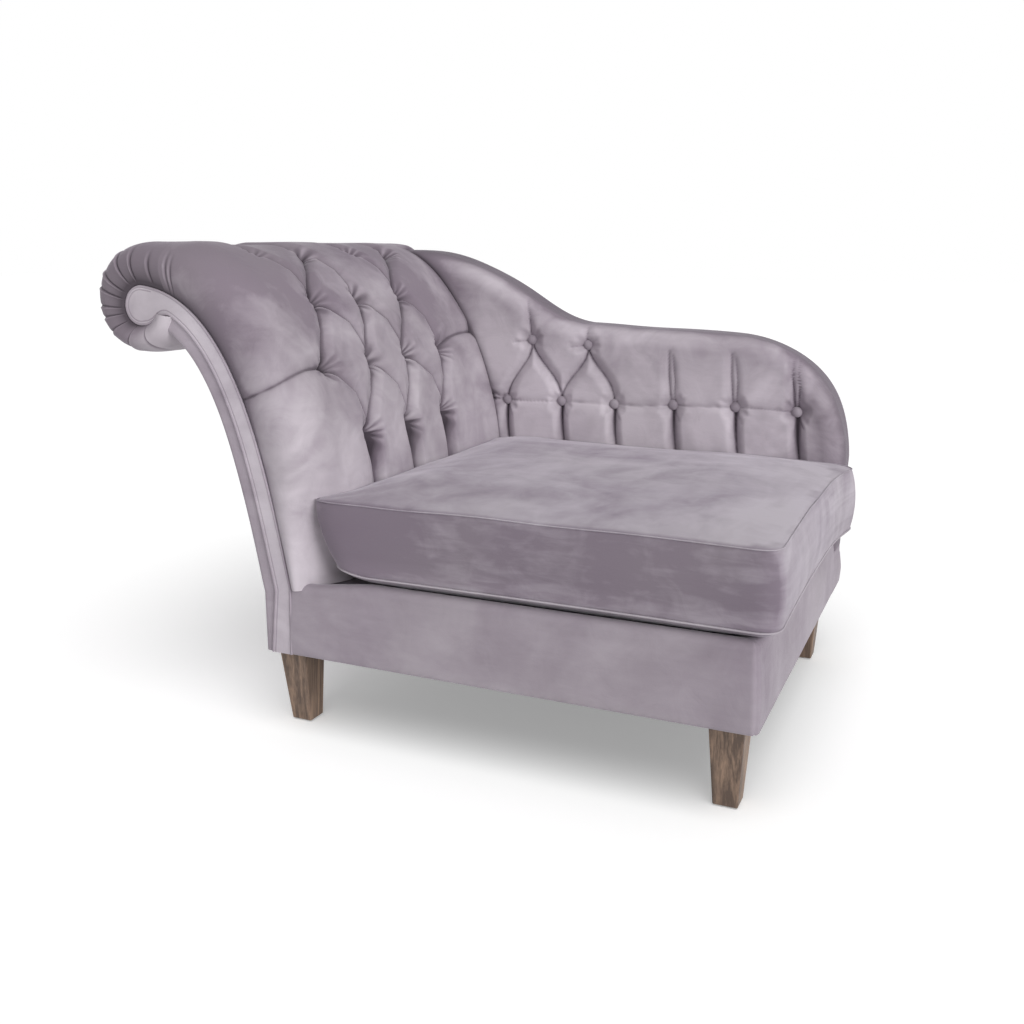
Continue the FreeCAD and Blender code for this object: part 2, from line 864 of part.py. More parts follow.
def tuft_grid():
    """Rows of tuft places on the padded face: each a list of (point, outward normal)."""
    rows = []
    face_line = Part.Wire(curve(pad_mid, 0.0, 3))
    for row in range(4):
        reach = tuft_first_row + tuft_row_pitch * row
        for edge in face_line.Edges:
            if reach <= edge.Length:
                break
            reach -= edge.Length
        place = edge.getParameterByLength(min(reach, edge.Length))
        point = edge.valueAt(place)
        tangent = edge.tangentAt(place)
        if tangent.z < 0:
            tangent = -tangent
        normal = Vector(tangent.z, 0, -tangent.x)
        count = 3 if row % 2 == 0 else 4
        first = tuft_centre - tuft_pitch * (count - 1) / 2
        rows.append(
            [
                (Vector(point.x, first + tuft_pitch * index, point.z), normal)
                for index in range(count)
            ]
        )
    return rows


def head_tools():
    """Pockets at the tufts, and pleats between them, down to the seat and out to both sides."""
    rows = tuft_grid()
    tools = []
    for row in rows:
        for point, normal in row:
            tools.append(pocket(point, normal, tuft_depth, tuft_radius))
    for lower, upper in zip(rows, rows[1:]):
        for i, (a, na) in enumerate(lower):
            for j, (b, nb) in enumerate(upper):
                if abs(a.y - b.y) < tuft_pitch * 0.75:
                    normal = na + nb
                    normal.normalize()
                    tools.append(pleat(a, b, normal, pleat_depth, pleat_half_width))
    for point, normal in rows[0]:
        foot = Vector(deck_edge_x, point.y, deck_low + cushion_side)
        tools.append(pleat(point, foot, normal, pleat_depth, pleat_half_width))
    side_row = rows[1]
    front = Vector(side_row[0][0].x, front_y + pad_round, side_row[0][0].z)
    tools.append(pleat(side_row[0][0], front, side_row[0][1], pleat_depth, pleat_half_width))
    rear = Vector(side_row[-1][0].x, pad_end + 1, side_row[-1][0].z)
    tools.append(pleat(side_row[-1][0], rear, side_row[-1][1], pleat_depth, pleat_half_width))
    return tools


def head_upholstery():
    """A foam slab on the backing and, over it, the tufted velvet with its wadding, round the roll to the throat."""
    places = ring_places()
    main_start, main_end = places[-1], -places[-1]
    foam_start = front_y + foam_set_back
    slab = Part.Face(between(core_share, foam_share, 0.0))
    skin = Part.Face(between(foam_share, 1.0, 0.0))
    front_slab = along_y(slab, foam_start, pad_end)
    back_slab = behind_arm(along_y(slab, pad_end, -foam_start))
    save("head_foam", front_slab.fuse(back_slab).cut(spine(0.0)).removeSplitter())
    room = along_y(slab, foam_start - seam_gap, seam_gap - foam_start)
    front = rounded_end(places, 1).cut(room)
    front = front.fuse(along_y(skin, main_start, pad_end))
    back = rounded_end(places, -1).cut(room)
    back = behind_arm(back.fuse(along_y(skin, pad_end, main_end)))
    cap_places = [front_y + pad_round * cap_step, frame_front]
    front_cap = rounded_end(cap_places, 1).cut(spine(seam_gap))
    back_cap = behind_arm(rounded_end(cap_places, -1)).cut(spine(seam_gap))
    cover = front.fuse(back).cut(spine(0.0)).fuse([front_cap, back_cap])
    save("head_cover", cover.cut(head_tools()).removeSplitter())


def arm_outline(inset, low, y):
    """The arm's side view: the sweep at its head, the falling top line and the round foot end."""
    head_top, dip_top, knee_top = arm_head_top - inset, arm_dip_top - inset, arm_knee_top - inset
    end_x = foot_x + arm_end_proud - inset
    slack = inset / 2
    crown = [
        (arm_head_x + inset, head_top),
        (arm_head_x + arm_crown_reach, head_top),
        (arm_dip_x - arm_dip_run, dip_top + arm_dip_rise),
        (arm_dip_x, dip_top),
    ]
    saddle = [
        (arm_dip_x, dip_top),
        (arm_dip_x + arm_saddle_run, dip_top - arm_saddle_sag),
        (arm_knee_x - arm_saddle_run, knee_top + arm_knee_rise),
        (arm_knee_x, knee_top),
    ]
    knee = [
        (arm_knee_x, knee_top),
        (arm_knee_x + arm_knee_run - slack, knee_top - arm_knee_fall),
        (end_x, arm_end_height + arm_end_bulge - slack),
        (end_x, arm_end_height),
    ]
    top = curve(crown, y, 3) + curve(saddle, y, 1) + curve(knee, y, 2)
    corners = [at(*knee[3], y), at(foot_x - inset, low, y), at(crown[0][0], low, y), at(*crown[0], y)]
    return closed(top + [Part.makeLine(a, b) for a, b in zip(corners, corners[1:])])


def behind_sweep():
    """The space left of the sweep, which the arm stops short of."""
    near = swept(seam_gap)
    foot, head = start_of(near), end_of(near)
    corners = [
        head,
        at(-overall_length, head.z),
        at(-overall_length, 0),
        at(foot.x, 0),
        foot,
    ]
    return along_y(
        Part.Face(closed(near + [Part.makeLine(a, b) for a, b in zip(corners, corners[1:])])),
        2 * front_y,
        2 * back_y,
    )


def arm_slab(inset, low, y0, y1):
    """A flat piece of the arm's side view."""
    return along_y(Part.Face(arm_outline(inset, low, 0.0)), y0, y1).cut(behind_sweep())


def arm_body(start, depth, drop, inset, end):
    """The arm with its rounded inner top edge, from an inner face to a back plane."""
    wires = []
    for share in arm_ring_steps:
        rise = 1 - math.sqrt(1 - (1 - share) ** 2)
        wires.append(arm_outline(inset + drop * rise, deck_low, start + depth * share))
    main = along_y(Part.Face(arm_outline(inset, deck_low, 0.0)), start + depth, end)
    return loft(wires).fuse(main).cut(behind_sweep()).removeSplitter()


def button_places():
    """Middles of the buttons as (x, z): a full row and two above it, between the first three."""
    lower = [(button_first_x + button_pitch * i, button_row) for i in range(button_count)]
    upper = [(button_first_x + button_pitch * (i + 0.5), button_upper_row) for i in range(2)]
    return lower, upper


def toggle_rooms(room):
    """A toggle behind the board for each button, or the space round it."""
    lower, upper = button_places()
    half_long, half_wide = toggle_length / 2 + room, toggle_width / 2 + room
    return [
        block(
            x - half_long,
            x + half_long,
            inner_back - room,
            inner_back + toggle_thick + room,
            z - half_wide,
            z + half_wide,
        )
        for x, z in lower + upper
    ]


def twines(width):
    """The square twine of each button, from its back to the toggle, or the holes that it runs through."""
    lower, upper = button_places()
    start, half = arm_face + button_sink - seam_gap, width / 2
    return [
        block(x - half, x + half, start, inner_back, z - half, z + half) for x, z in lower + upper
    ]


def arm_tools():
    """Pockets for the buttons and the pleats that run between them, down to the seat and up the arm."""
    lower, upper = button_places()
    out = Vector(0, -1, 0)
    tools = []

    def spot(x, z):
        return Vector(x, arm_face, z)

    for x, z in lower + upper:
        seat = button_radius + seam_gap
        tools.append(pocket(spot(x, z), out, button_sink, button_pocket_radius, seat))
    depth, half = pleat_depth * button_pleat_share, pleat_half_width * button_pleat_share
    for x, z in lower:
        tools.append(pleat(spot(x, z), spot(x, deck_low + cushion_side), out, depth, half))
    for i, (x, z) in enumerate(upper):
        tools.append(pleat(spot(*lower[i]), spot(x, z), out, depth, half))
        tools.append(pleat(spot(*lower[i + 1]), spot(x, z), out, depth, half))
    for x, z in lower[3:]:
        tools.append(pleat(spot(x, z), spot(x, arm_knee_top - arm_drop * 1.6), out, depth, half))
    return tools


def arm_pieces():
    """Board, posts, foam, buttoned inside cover and the outside back cover."""
    board_front = inner_back - arm_board_thick
    holes = twines(twine_room)
    whole = arm_body(arm_face, arm_round, arm_drop, 0.0, frame_back - seam_gap)
    hollow_front = arm_face + arm_cover_thick
    inner_round, inner_drop = arm_round * arm_foam_share, arm_drop * arm_foam_share
    hollow = arm_body(hollow_front, inner_round, inner_drop, arm_top_padding, frame_back)
    foot_band = block(
        foot_out + seam_gap,
        foot_x,
        arm_face,
        frame_back - seam_gap,
        leg_height,
        deck_low + 1.0,
    )
    cover = whole.cut(hollow).fuse(foot_band)
    save("arm_inside_cover", cover.cut(arm_tools() + holes).removeSplitter())
    foam = arm_body(
        hollow_front + seam_gap,
        inner_round,
        inner_drop,
        arm_top_padding + seam_gap,
        frame_back - seam_gap,
    )
    board_inset = arm_top_padding + arm_board_margin
    cavity = arm_slab(board_inset - seam_gap, deck_low - 5.0, board_front - seam_gap, back_y)
    save("arm_foam", foam.cut([cavity] + holes))
    save("arm_board", arm_slab(board_inset, deck_low, board_front, inner_back).cut(holes))
    posts = []
    room = arm_slab(board_inset, deck_low - 1.0, inner_back, frame_back - seam_gap)
    for x in post_places():
        tall = block(x, x + arm_post_width, inner_back, frame_back - seam_gap, deck_low - 1.0, roll_top)
        stub = block(x, x + arm_post_width, inner_back, frame_back - seam_gap, rail_top, deck_low)
        post = tall.common(room).fuse(stub).removeSplitter()
        posts.append(post.cut(toggle_rooms(seam_gap)))
    save("arm_posts", Part.makeCompound(posts))
    save("outside_back_cover", arm_slab(outside_inset, leg_height, frame_back, back_y))


def post_places():
    """Left edges of the arm's posts: at the head, between webbing straps, and at the foot end."""
    straps = strap_places()
    middle = (straps[2] + straps[3]) / 2 - arm_post_width / 2
    last = foot_x - arm_top_padding - arm_board_margin - arm_post_width
    return [facing_foot_x + 2 * seam_gap, middle, last]


def arm_buttons():
    """Domed covered buttons, the twine that holds each one and its toggle behind the board."""
    lower, upper = button_places()
    seat = arm_face + button_sink - seam_gap
    buttons = [
        turned(
            Vector(x, seat, z),
            Vector(0, -1, 0),
            button_radius,
            button_radius * 0.5,
            button_height,
            button_sides,
        )
        for x, z in lower + upper
    ]
    save("arm_buttons", Part.makeCompound(buttons))
    save("button_twines", Part.makeCompound(twines(twine_width)))
    save("button_toggles", Part.makeCompound(toggle_rooms(0.0)))


def cushion_ring(inset, set_in, z):
    """Corners of the cushion's plan at a height: its sides are drawn in between its rounded corners."""
    edge = inset + set_in
    x0, x1 = deck_edge_x + cushion_end_gap + edge, half_length - edge
    y0, y1 = front_y + cushion_front_set + edge, arm_face - cushion_end_gap - edge
    corner, waist = cushion_corner, cushion_waist
    slim = corner * (1 - math.sqrt(0.5))
    mid_x, mid_y = (x0 + x1) / 2, (y0 + y1) / 2
    points = [
        (x0 + corner, y0),
        (mid_x, y0 + waist),
        (x1 - corner, y0),
        (x1 - slim, y0 + slim),
        (x1, y0 + corner),
        (x1 - waist, mid_y),
        (x1, y1 - corner),
        (x1 - slim, y1 - slim),
        (x1 - corner, y1),
        (mid_x, y1 - waist),
        (x0 + corner, y1),
        (x0 + slim, y1 - slim),
        (x0, y1 - corner),
        (x0 + waist, mid_y),
        (x0, y0 + corner),
        (x0 + slim, y0 + slim),
    ]
    return [Vector(*point, z) for point in points]


def cushion_body(inset):
    """A box cushion: crowned top, belly below, rings of its plan stacked between them."""
    low = deck_top + cushion_lift_gap + cushion_belly + inset
    high = low + cushion_side - 2 * inset

    def swell(share):
        return 1 - (1 - share) ** 2

    rings = []
    for share in cushion_ring_shares[::-1]:
        rings.append(cushion_ring(inset, cushion_belly_run * share, low - cushion_belly * swell(share)))
    for share in cushion_ring_shares:
        rings.append(cushion_ring(inset, cushion_crown_run * share, high + cushion_crown * swell(share)))
    faces = [rings[0][::-1], rings[-1]]
    for below, above in zip(rings, rings[1:]):
        for i in range(len(below)):
            faces.append([below[i - 1], below[i], above[i]])
            faces.append([below[i - 1], above[i], above[i - 1]])
    return solid_of(faces)


def cushion():
    """Foam core and sewn velvet cover of the loose cushion."""
    save("cushion_cover", cushion_body(0.0).cut(cushion_body(cushion_cover_thick)))
    save("cushion_core", cushion_body(cushion_cover_thick + seam_gap))


os.makedirs("parts", exist_ok=True)
base_frame()
legs()
leg_fixings()
dust_cover()
seat_webbing()
deck_layers()
base_covers()
scroll_frame()
head_backing()
head_shell()
facings()
head_upholstery()
arm_pieces()
arm_buttons()
cushion()
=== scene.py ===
import math

import bmesh
import bpy
import numpy as np
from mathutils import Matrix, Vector


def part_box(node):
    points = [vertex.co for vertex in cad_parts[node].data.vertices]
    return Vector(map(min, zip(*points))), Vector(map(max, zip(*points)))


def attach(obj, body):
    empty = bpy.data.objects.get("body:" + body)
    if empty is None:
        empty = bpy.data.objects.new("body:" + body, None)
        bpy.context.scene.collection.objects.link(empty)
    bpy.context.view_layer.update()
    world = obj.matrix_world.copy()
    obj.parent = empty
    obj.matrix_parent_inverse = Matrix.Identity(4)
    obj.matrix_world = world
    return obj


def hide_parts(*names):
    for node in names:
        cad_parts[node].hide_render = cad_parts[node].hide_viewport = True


# A chaise longue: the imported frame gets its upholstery, buttons, piping and legs.
# Sizes are in millimetres until a mesh is written, and X, Y and Z are those of the frame.

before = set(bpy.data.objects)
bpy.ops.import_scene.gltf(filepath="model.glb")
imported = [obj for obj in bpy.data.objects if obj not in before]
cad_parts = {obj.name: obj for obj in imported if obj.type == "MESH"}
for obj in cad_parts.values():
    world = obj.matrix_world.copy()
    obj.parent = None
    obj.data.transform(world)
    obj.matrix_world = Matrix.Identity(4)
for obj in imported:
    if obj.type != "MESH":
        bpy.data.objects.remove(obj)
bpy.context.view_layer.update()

front_y, back_y, foot_x = -425.5, 425.5, 617.0
leg_height, base_top = 150.0, 270.0
# Where the head end meets the base: the facings' foot, the padding's foot and the bands' joint
facing_foot_x, pad_foot, band_start_x = -211.0, 270.3, -210.0
# The frame's round head and the padding's roll over it, both ending at the roll's throat
head_centre, head_radius = np.array((-529.0, 766.0)), 36.0
roll_centre, roll_radius = np.array((-545.0, 780.0)), 100.0
throat_angle = -20.0
facing_width, facing_foot_width, strip_width = 33.0, 42.0, 64.0
arm_face, arm_head_x = 318.0, -410.0
pad_round = 70.0


# Materials


def add(tree, kind, **values):
    node = tree.nodes.new("ShaderNode" + kind)
    for name, value in values.items():
        if hasattr(node, name):
            setattr(node, name, value)
        else:
            node.inputs[name].default_value = value
    return node


def give(tree, node, **values):
    for name, value in values.items():
        tree.links.new(value, node.inputs[name.replace("_", " ")])


def set_inputs(node, **values):
    for name, value in values.items():
        node.inputs[name.replace("_", " ")].default_value = value


def noise(tree, place, scale, detail=3.0, rough=0.5, warp=0.0):
    node = add(tree, "TexNoise", Scale=scale, Detail=detail, Roughness=rough, Distortion=warp)
    give(tree, node, Vector=place)
    return node.outputs["Fac"]


def math_node(tree, operation, a, b=None, clamp=False):
    node = add(tree, "Math", operation=operation)
    node.use_clamp = clamp
    for slot, value in enumerate((a, b)):
        if value is None:
            continue
        if isinstance(value, (int, float)):
            node.inputs[slot].default_value = value
        else:
            tree.links.new(value, node.inputs[slot])
    return node.outputs[0]


def spread(tree, value, middle, factor, clamp=False):
    """How far a value lies from its middle, times a factor."""
    return math_node(tree, "MULTIPLY", math_node(tree, "SUBTRACT", value, middle), factor, clamp)


def total(tree, first, *others, clamp=False):
    """The sum of several values, which can be held between 0 and 1 at the end."""
    for number, value in enumerate(others, 1):
        first = math_node(tree, "ADD", first, value, clamp and number == len(others))
    return first


def mixed(tree, share, a, b):
    node = add(tree, "Mix", data_type="RGBA")
    for name, value in (("Factor", share), ("A", a), ("B", b)):
        socket = [s for s in node.inputs if s.name == name and s.enabled][0]
        if isinstance(value, (int, float)):
            socket.default_value = value
        elif isinstance(value, tuple):
            socket.default_value = (*value, 1.0)
        else:
            tree.links.new(value, socket)
    return [s for s in node.outputs if s.enabled][0]


def stretched(tree, scale):
    mapping = add(tree, "Mapping", Scale=scale)
    give(tree, mapping, Vector=add(tree, "TexCoord").outputs["Object"])
    return mapping.outputs["Vector"]


def new_group(name, takes, gives):
    group = bpy.data.node_groups.new(name, "ShaderNodeTree")
    for label, kind, value in takes:
        socket = group.interface.new_socket(label, in_out="INPUT", socket_type="NodeSocket" + kind)
        socket.default_value = value
    for label, kind in gives:
        group.interface.new_socket(label, in_out="OUTPUT", socket_type="NodeSocket" + kind)
    return group, group.nodes.new("NodeGroupInput"), group.nodes.new("NodeGroupOutput")


def velvet_pile():
    """Crushed velvet: soft blotches where the pile leans, brush marks and a fine tooth, darkened and
    lightened by the painted light and shade kept on each piece.
    """
    tree, takes, gives = new_group(
        "velvet_pile",
        [
            ("Lit pile", "Color", (0.5, 0.45, 0.5, 1.0)),
            ("Deep pile", "Color", (0.25, 0.2, 0.25, 1.0)),
            ("Lean", "Float", 0.0),
            ("Brushed", "Float", 0.3),
        ],
        [("Colour", "Color"), ("Crush", "Float"), ("Tooth", "Float"), ("Dullness", "Float")],
    )
    place = stretched(tree, (1.0, 1.0, 1.0))
    blotch = noise(tree, place, 5.5, 3.0, 0.55, 0.9)
    crushed = noise(tree, place, 17.0, 4.0, 0.6, 1.2)
    brush = noise(tree, stretched(tree, (14.0, 3.0, 70.0)), 1.0, 3.0, 0.6, 0.4)
    tooth = noise(tree, place, 850.0, 2.0, 0.7)
    painted_light_and_shade = add(tree, "Attribute", attribute_name="painted_light_and_shade").outputs["Fac"]
    lean = spread(tree, blotch, 0.5, 1.5)
    small = spread(tree, crushed, 0.5, 0.5)
    strokes = spread(tree, brush, 0.5, takes.outputs["Brushed"])
    # The painted light and shade and each velvet's lean move the colour between the deep and the lit pile
    turned = total(tree, painted_light_and_shade, takes.outputs["Lean"])
    share = total(tree, lean, small, strokes, turned, 0.5, clamp=True)
    colour = mixed(tree, share, takes.outputs["Deep pile"], takes.outputs["Lit pile"])
    warm = noise(tree, place, 3.1, 2.0, 0.5, 0.5)
    warm = spread(tree, warm, 0.35, 0.55, clamp=True)
    colour = mixed(tree, warm, colour, (0.37, 0.35, 0.345))
    fibre = total(tree, spread(tree, tooth, 0.5, 0.35), 0.5)
    colour = mixed(tree, 0.18, colour, mixed(tree, fibre, (0.1, 0.08, 0.1), (0.62, 0.58, 0.62)))
    # Painted shade: where the painted light and shade falls far below 0, in creases and pockets, the
    # colour turns nearly black
    painted_crease_shade = math_node(tree, "MAXIMUM", total(tree, painted_light_and_shade, 1.4, clamp=True), 0.25)
    colour = mixed(tree, painted_crease_shade, (0.02, 0.014, 0.02), colour)
    dull = total(tree, math_node(tree, "MULTIPLY", share, -0.15), 0.85)
    give(tree, gives, Colour=colour, Crush=total(tree, crushed, strokes), Tooth=tooth, Dullness=dull)
    return tree


def woven_threads():
    """A plain weave of threads along two object axes."""
    tree, takes, gives = new_group(
        "woven_threads",
        [
            ("Pitch", "Float", 700.0),
            ("Thread", "Color", (0.5, 0.4, 0.3, 1)),
            ("Gap", "Color", (0.2, 0.15, 0.1, 1)),
        ],
        [("Colour", "Color"), ("Height", "Float")],
    )
    place = add(tree, "TexCoord").outputs["Object"]
    split = add(tree, "SeparateXYZ")
    tree.links.new(place, split.inputs[0])
    waves = []
    for axis in ("X", "Y", "Z"):
        turns = math_node(tree, "MULTIPLY", split.outputs[axis], takes.outputs["Pitch"])
        waves.append(math_node(tree, "SINE", turns))
    weave = math_node(tree, "MULTIPLY", total(tree, waves[0], waves[2]), waves[1])
    height = total(tree, math_node(tree, "MULTIPLY", weave, 0.3), 0.5, clamp=True)
    slub = noise(tree, place, 60.0, 3.0)
    height = math_node(tree, "MULTIPLY", height, total(tree, slub, 0.5))
    colour = mixed(tree, height, takes.outputs["Gap"], takes.outputs["Thread"])
    give(tree, gives, Colour=colour, Height=height)
    return tree


def oak_grain():
    """Straight grain along Z with darker pores and weathered streaks."""
    tree, takes, gives = new_group(
        "oak_grain",
        [("Pale", "Color", (0.35, 0.25, 0.17, 1)), ("Dark", "Color", (0.12, 0.08, 0.055, 1))],
        [("Colour", "Color"), ("Height", "Float"), ("Dullness", "Float")],
    )
    bands = noise(tree, stretched(tree, (38.0, 38.0, 2.6)), 1.0, 4.0, 0.6, 1.4)
    pores = noise(tree, stretched(tree, (420.0, 420.0, 11.0)), 1.0, 3.0, 0.7)
    patch = noise(tree, stretched(tree, (9.0, 9.0, 6.0)), 1.0, 3.0, 0.6)
    share = total(tree, spread(tree, bands, 0.42, 3.0), spread(tree, patch, 0.4, 1.2))
    pits = spread(tree, 0.5, pores, 1.6)
    share = math_node(tree, "SUBTRACT", share, pits, clamp=True)
    colour = mixed(tree, share, takes.outputs["Dark"], takes.outputs["Pale"])
    dull = total(tree, math_node(tree, "MULTIPLY", patch, 0.25), 0.42)
    give(tree, gives, Colour=colour, Height=math_node(tree, "SUBTRACT", bands, pits), Dullness=dull)
    return tree


pile, threads, grain = velvet_pile(), woven_threads(), oak_grain()


def new_material(name, **values):
    material = bpy.data.materials.new(name)
    material.use_nodes = True
    tree = material.node_tree
    shader = tree.nodes["Principled BSDF"]
    set_inputs(shader, **values)
    return material, tree, shader


def place_group(tree, group, **values):
    node = tree.nodes.new("ShaderNodeGroup")
    node.node_tree = group
    set_inputs(node, **values)
    return node


def bumps(tree, shader, heights):
    """Bump nodes in a row: each has a height, a strength and a distance in metres."""
    last = None
    for height, strength, distance in heights:
        node = add(tree, "Bump", Strength=strength, Distance=distance)
        give(tree, node, Height=height)
        if last:
            give(tree, node, Normal=last.outputs[0])
        last = node
    give(tree, shader, Normal=last.outputs[0])


def velvet(name, lit, deep, lean=0.0, brushed=0.3, crush=0.2):
    material, tree, shader = new_material(
        name,
        Sheen_Weight=0.3,
        Sheen_Roughness=0.35,
        Sheen_Tint=(0.95, 0.9, 0.98, 1),
        Specular_IOR_Level=0.2,
    )
    node = place_group(tree, pile, Lit_pile=(*lit, 1), Deep_pile=(*deep, 1), Lean=lean, Brushed=brushed)
    give(tree, shader, Base_Color=node.outputs["Colour"], Roughness=node.outputs["Dullness"])
    bumps(tree, shader, [(node.outputs["Crush"], crush, 0.006), (node.outputs["Tooth"], 0.25, 0.0006)])
    return material


def cloth(name, thread, gap, pitch):
    material, tree, shader = new_material(name, Roughness=0.9, Specular_IOR_Level=0.2)
    node = place_group(tree, threads, Pitch=pitch, Thread=(*thread, 1), Gap=(*gap, 1))
    give(tree, shader, Base_Color=node.outputs["Colour"])
    bumps(tree, shader, [(node.outputs["Height"], 0.5, 0.0006)])
    return material


def timber(name, pale, dark):
    material, tree, shader = new_material(name)
    node = place_group(tree, grain, Pale=(*pale, 1), Dark=(*dark, 1))
    give(tree, shader, Base_Color=node.outputs["Colour"], Roughness=node.outputs["Dullness"])
    bumps(tree, shader, [(node.outputs["Height"], 0.35, 0.0008)])
    return material


def speckled(name, pale, dark, metal, dull, scale):
    """Steel, nylon or foam: a fine mottle in colour, roughness and height."""
    material, tree, shader = new_material(name, Metallic=metal)
    grit = noise(tree, stretched(tree, (1.0, 1.0, 1.0)), scale, 4.0, 0.6)
    rough = total(tree, math_node(tree, "MULTIPLY", grit, 0.2), dull)
    give(tree, shader, Base_Color=mixed(tree, grit, dark, pale), Roughness=rough)
    bumps(tree, shader, [(grit, 0.3, 0.0006)])
    return material


made_by = {
    velvet: {
        "velvet": ((0.46, 0.415, 0.46), (0.185, 0.145, 0.185)),
        # The arm's and the head's velvets are lighter copies of the one velvet, with a lighter lean:
        # painted light on the arm's face and on the head's padding
        "velvet_arm": ((0.6, 0.54, 0.595), (0.18, 0.14, 0.18), 0.03, 0.2),
        "velvet_button": ((0.4, 0.35, 0.4), (0.15, 0.115, 0.15), 0.0, 0.2),
        "velvet_head": ((0.58, 0.525, 0.575), (0.17, 0.13, 0.17), 0.05, 0.12),
        # The welt's velvet is a lighter copy of the one velvet: a painted highlight along the cushion's
        # bottom seam
        "velvet_welt": ((0.5, 0.46, 0.5), (0.3, 0.26, 0.3), 0.1, 0.1),
        "velvet_band": ((0.44, 0.385, 0.44), (0.21, 0.165, 0.21)),
        "velvet_facing": ((0.62, 0.565, 0.62), (0.3, 0.25, 0.3), 0.12, 0.2, 0.15),
        "velvet_cushion": ((0.51, 0.465, 0.52), (0.165, 0.125, 0.17), 0.02, 0.7),
        "velvet_base": ((0.38, 0.335, 0.38), (0.19, 0.15, 0.19)),
    },
    timber: {
        "leg_oak": ((0.3, 0.2, 0.14), (0.085, 0.055, 0.04)),
        "frame_timber": ((0.62, 0.45, 0.28), (0.4, 0.26, 0.14)),
    },
    cloth: {
        "webbing": ((0.52, 0.45, 0.33), (0.16, 0.1, 0.06), 1500.0),
        "hessian": ((0.5, 0.38, 0.23), (0.2, 0.13, 0.07), 1300.0),
        "lining": ((0.27, 0.24, 0.27), (0.1, 0.085, 0.1), 2600.0),
        "dust_cloth": ((0.05, 0.05, 0.052), (0.02, 0.02, 0.022), 3000.0),
    },
    speckled: {
        "foam": ((0.75, 0.68, 0.5), (0.6, 0.52, 0.36), 0.0, 0.7, 500.0),
        "steel": ((0.6, 0.6, 0.6), (0.4, 0.4, 0.41), 1.0, 0.25, 300.0),
        "nylon": ((0.06, 0.055, 0.05), (0.03, 0.028, 0.025), 0.0, 0.4, 250.0),
    },
}
finishes = {name: make(name, *values) for make, table in made_by.items() for name, values in table.items()}


def finished(piece, finish):
    piece.data.materials.clear()
    piece.data.materials.append(finishes[finish])
    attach(piece, "seat_cushion" if piece.name.startswith("cushion") else "frame")
    return piece


# Curves


def bezier(poles, shares):
    p, t = np.array(poles), np.asarray(shares)[:, None]
    return (1 - t) ** 3 * p[0] + 3 * (1 - t) ** 2 * t * p[1] + 3 * (1 - t) * t**2 * p[2] + t**3 * p[3]


def lengths(points):
    return np.concatenate([[0], np.cumsum(np.linalg.norm(np.diff(points, axis=0), axis=1))])


def at_shares(line, shares):
    """Points of a line at the given shares of its length."""
    reach = lengths(line)
    wanted = np.asarray(shares) * reach[-1]
    return np.stack([np.interp(wanted, reach, line[:, 0]), np.interp(wanted, reach, line[:, 1])], 1)


def arc(centre, radius, turn):
    return centre + radius * np.stack([np.cos(turn), np.sin(turn)], 1)


def unit(values):
    return np.clip(values, 0, 1)


def hump(distance):
    """1 at no distance, falling off softly to both sides."""
    return np.exp(-(distance**2))


def sides(points):
    """Unit normals of a line of (x, z) points, to its right."""
    along = np.gradient(points, axis=0)
    along /= np.linalg.norm(along, axis=1)[:, None]
    return np.stack([along[:, 1], -along[:, 0]], 1)


sweep_poles = [(facing_foot_x, pad_foot), (-263, 490.3), (-320, 782.2), (-529, 802)]
pad_poles = [(-146, 400.3), (-150, 598.3), (-285, 888), (-467, 880)]
# Shares of the sweep at which the padding's rising face and its top begin
mid_start, high_start = 0.24, 0.24 + 0.76 * 0.84


def roll_turn(places):
    """The angle round the head or the roll, from its top at place 3 to the throat at place 4."""
    return np.radians(90 + (270 + throat_angle) * unit(places - 3))


def bare_line(places):
    """The upholstered frame's own outline: the sweep and the round of its head; places run 0 to 4."""
    places = np.asarray(places)
    stops = np.interp(places, (0, 1, 2, 3), (0, mid_start, high_start, 1))
    points = bezier(sweep_poles, stops)
    return np.where((places > 3)[:, None], arc(head_centre, head_radius, roll_turn(places)), points)


def padded_line(places):
    """The outline of the full padding over it."""
    places = np.asarray(places)
    low = np.stack([np.full(len(places), -146.0), pad_foot + 130 * unit(places)], 1)
    mid = bezier(pad_poles, unit(places - 1))
    high = np.stack([-467 - 78 * unit(places - 2), np.full(len(places), 880.0)], 1)
    curl = arc(roll_centre, roll_radius, roll_turn(places))
    choice = np.clip(places.astype(int), 0, 3)[:, None]
    return np.select([choice == 0, choice == 1, choice == 2], [low, mid, high], curl)


# Meshes from tables of points, and folds on them


def placed(name, data):
    """A new object in the scene, with its mesh, curve, light or camera."""
    piece = bpy.data.objects.new(name, data)
    bpy.context.scene.collection.objects.link(piece)
    return piece


def as_mesh(bm, name):
    """Turns the points and faces worked on into a mesh."""
    mesh = bpy.data.meshes.new(name)
    bm.to_mesh(mesh)
    bm.free()
    return mesh


def cloth_grid(name, points):
    """A grid mesh whose corners are moved to a table (rows, columns, 3) of points in millimetres."""
    rows, columns = points.shape[:2]
    bm = bmesh.new()
    bmesh.ops.create_grid(bm, x_segments=columns - 1, y_segments=rows - 1, size=0.5)
    mesh = as_mesh(bm, name)
    mesh.vertices.foreach_set("co", (points.reshape(-1, 3) / 1000).astype(np.float32).ravel())
    mesh.shade_smooth()
    mesh.update()
    return placed(name, mesh)


def outward(points):
    """Unit normals of a table of points, on the side where rows x columns point."""
    across, up = np.gradient(points, axis=1), np.gradient(points, axis=0)
    normal = np.cross(across, up)
    return normal / np.maximum(np.linalg.norm(normal, axis=2), 1e-9)[..., None]


def keep_painted_light_and_shade(piece, values):
    """Keeps the painted light and shade at each point, which the velvet reads to darken or lighten its
    pile colour.
    """
    attribute = piece.data.attributes.new("painted_light_and_shade", "FLOAT", "POINT")
    attribute.data.foreach_set("value", np.asarray(values, np.float32).ravel())
    return piece


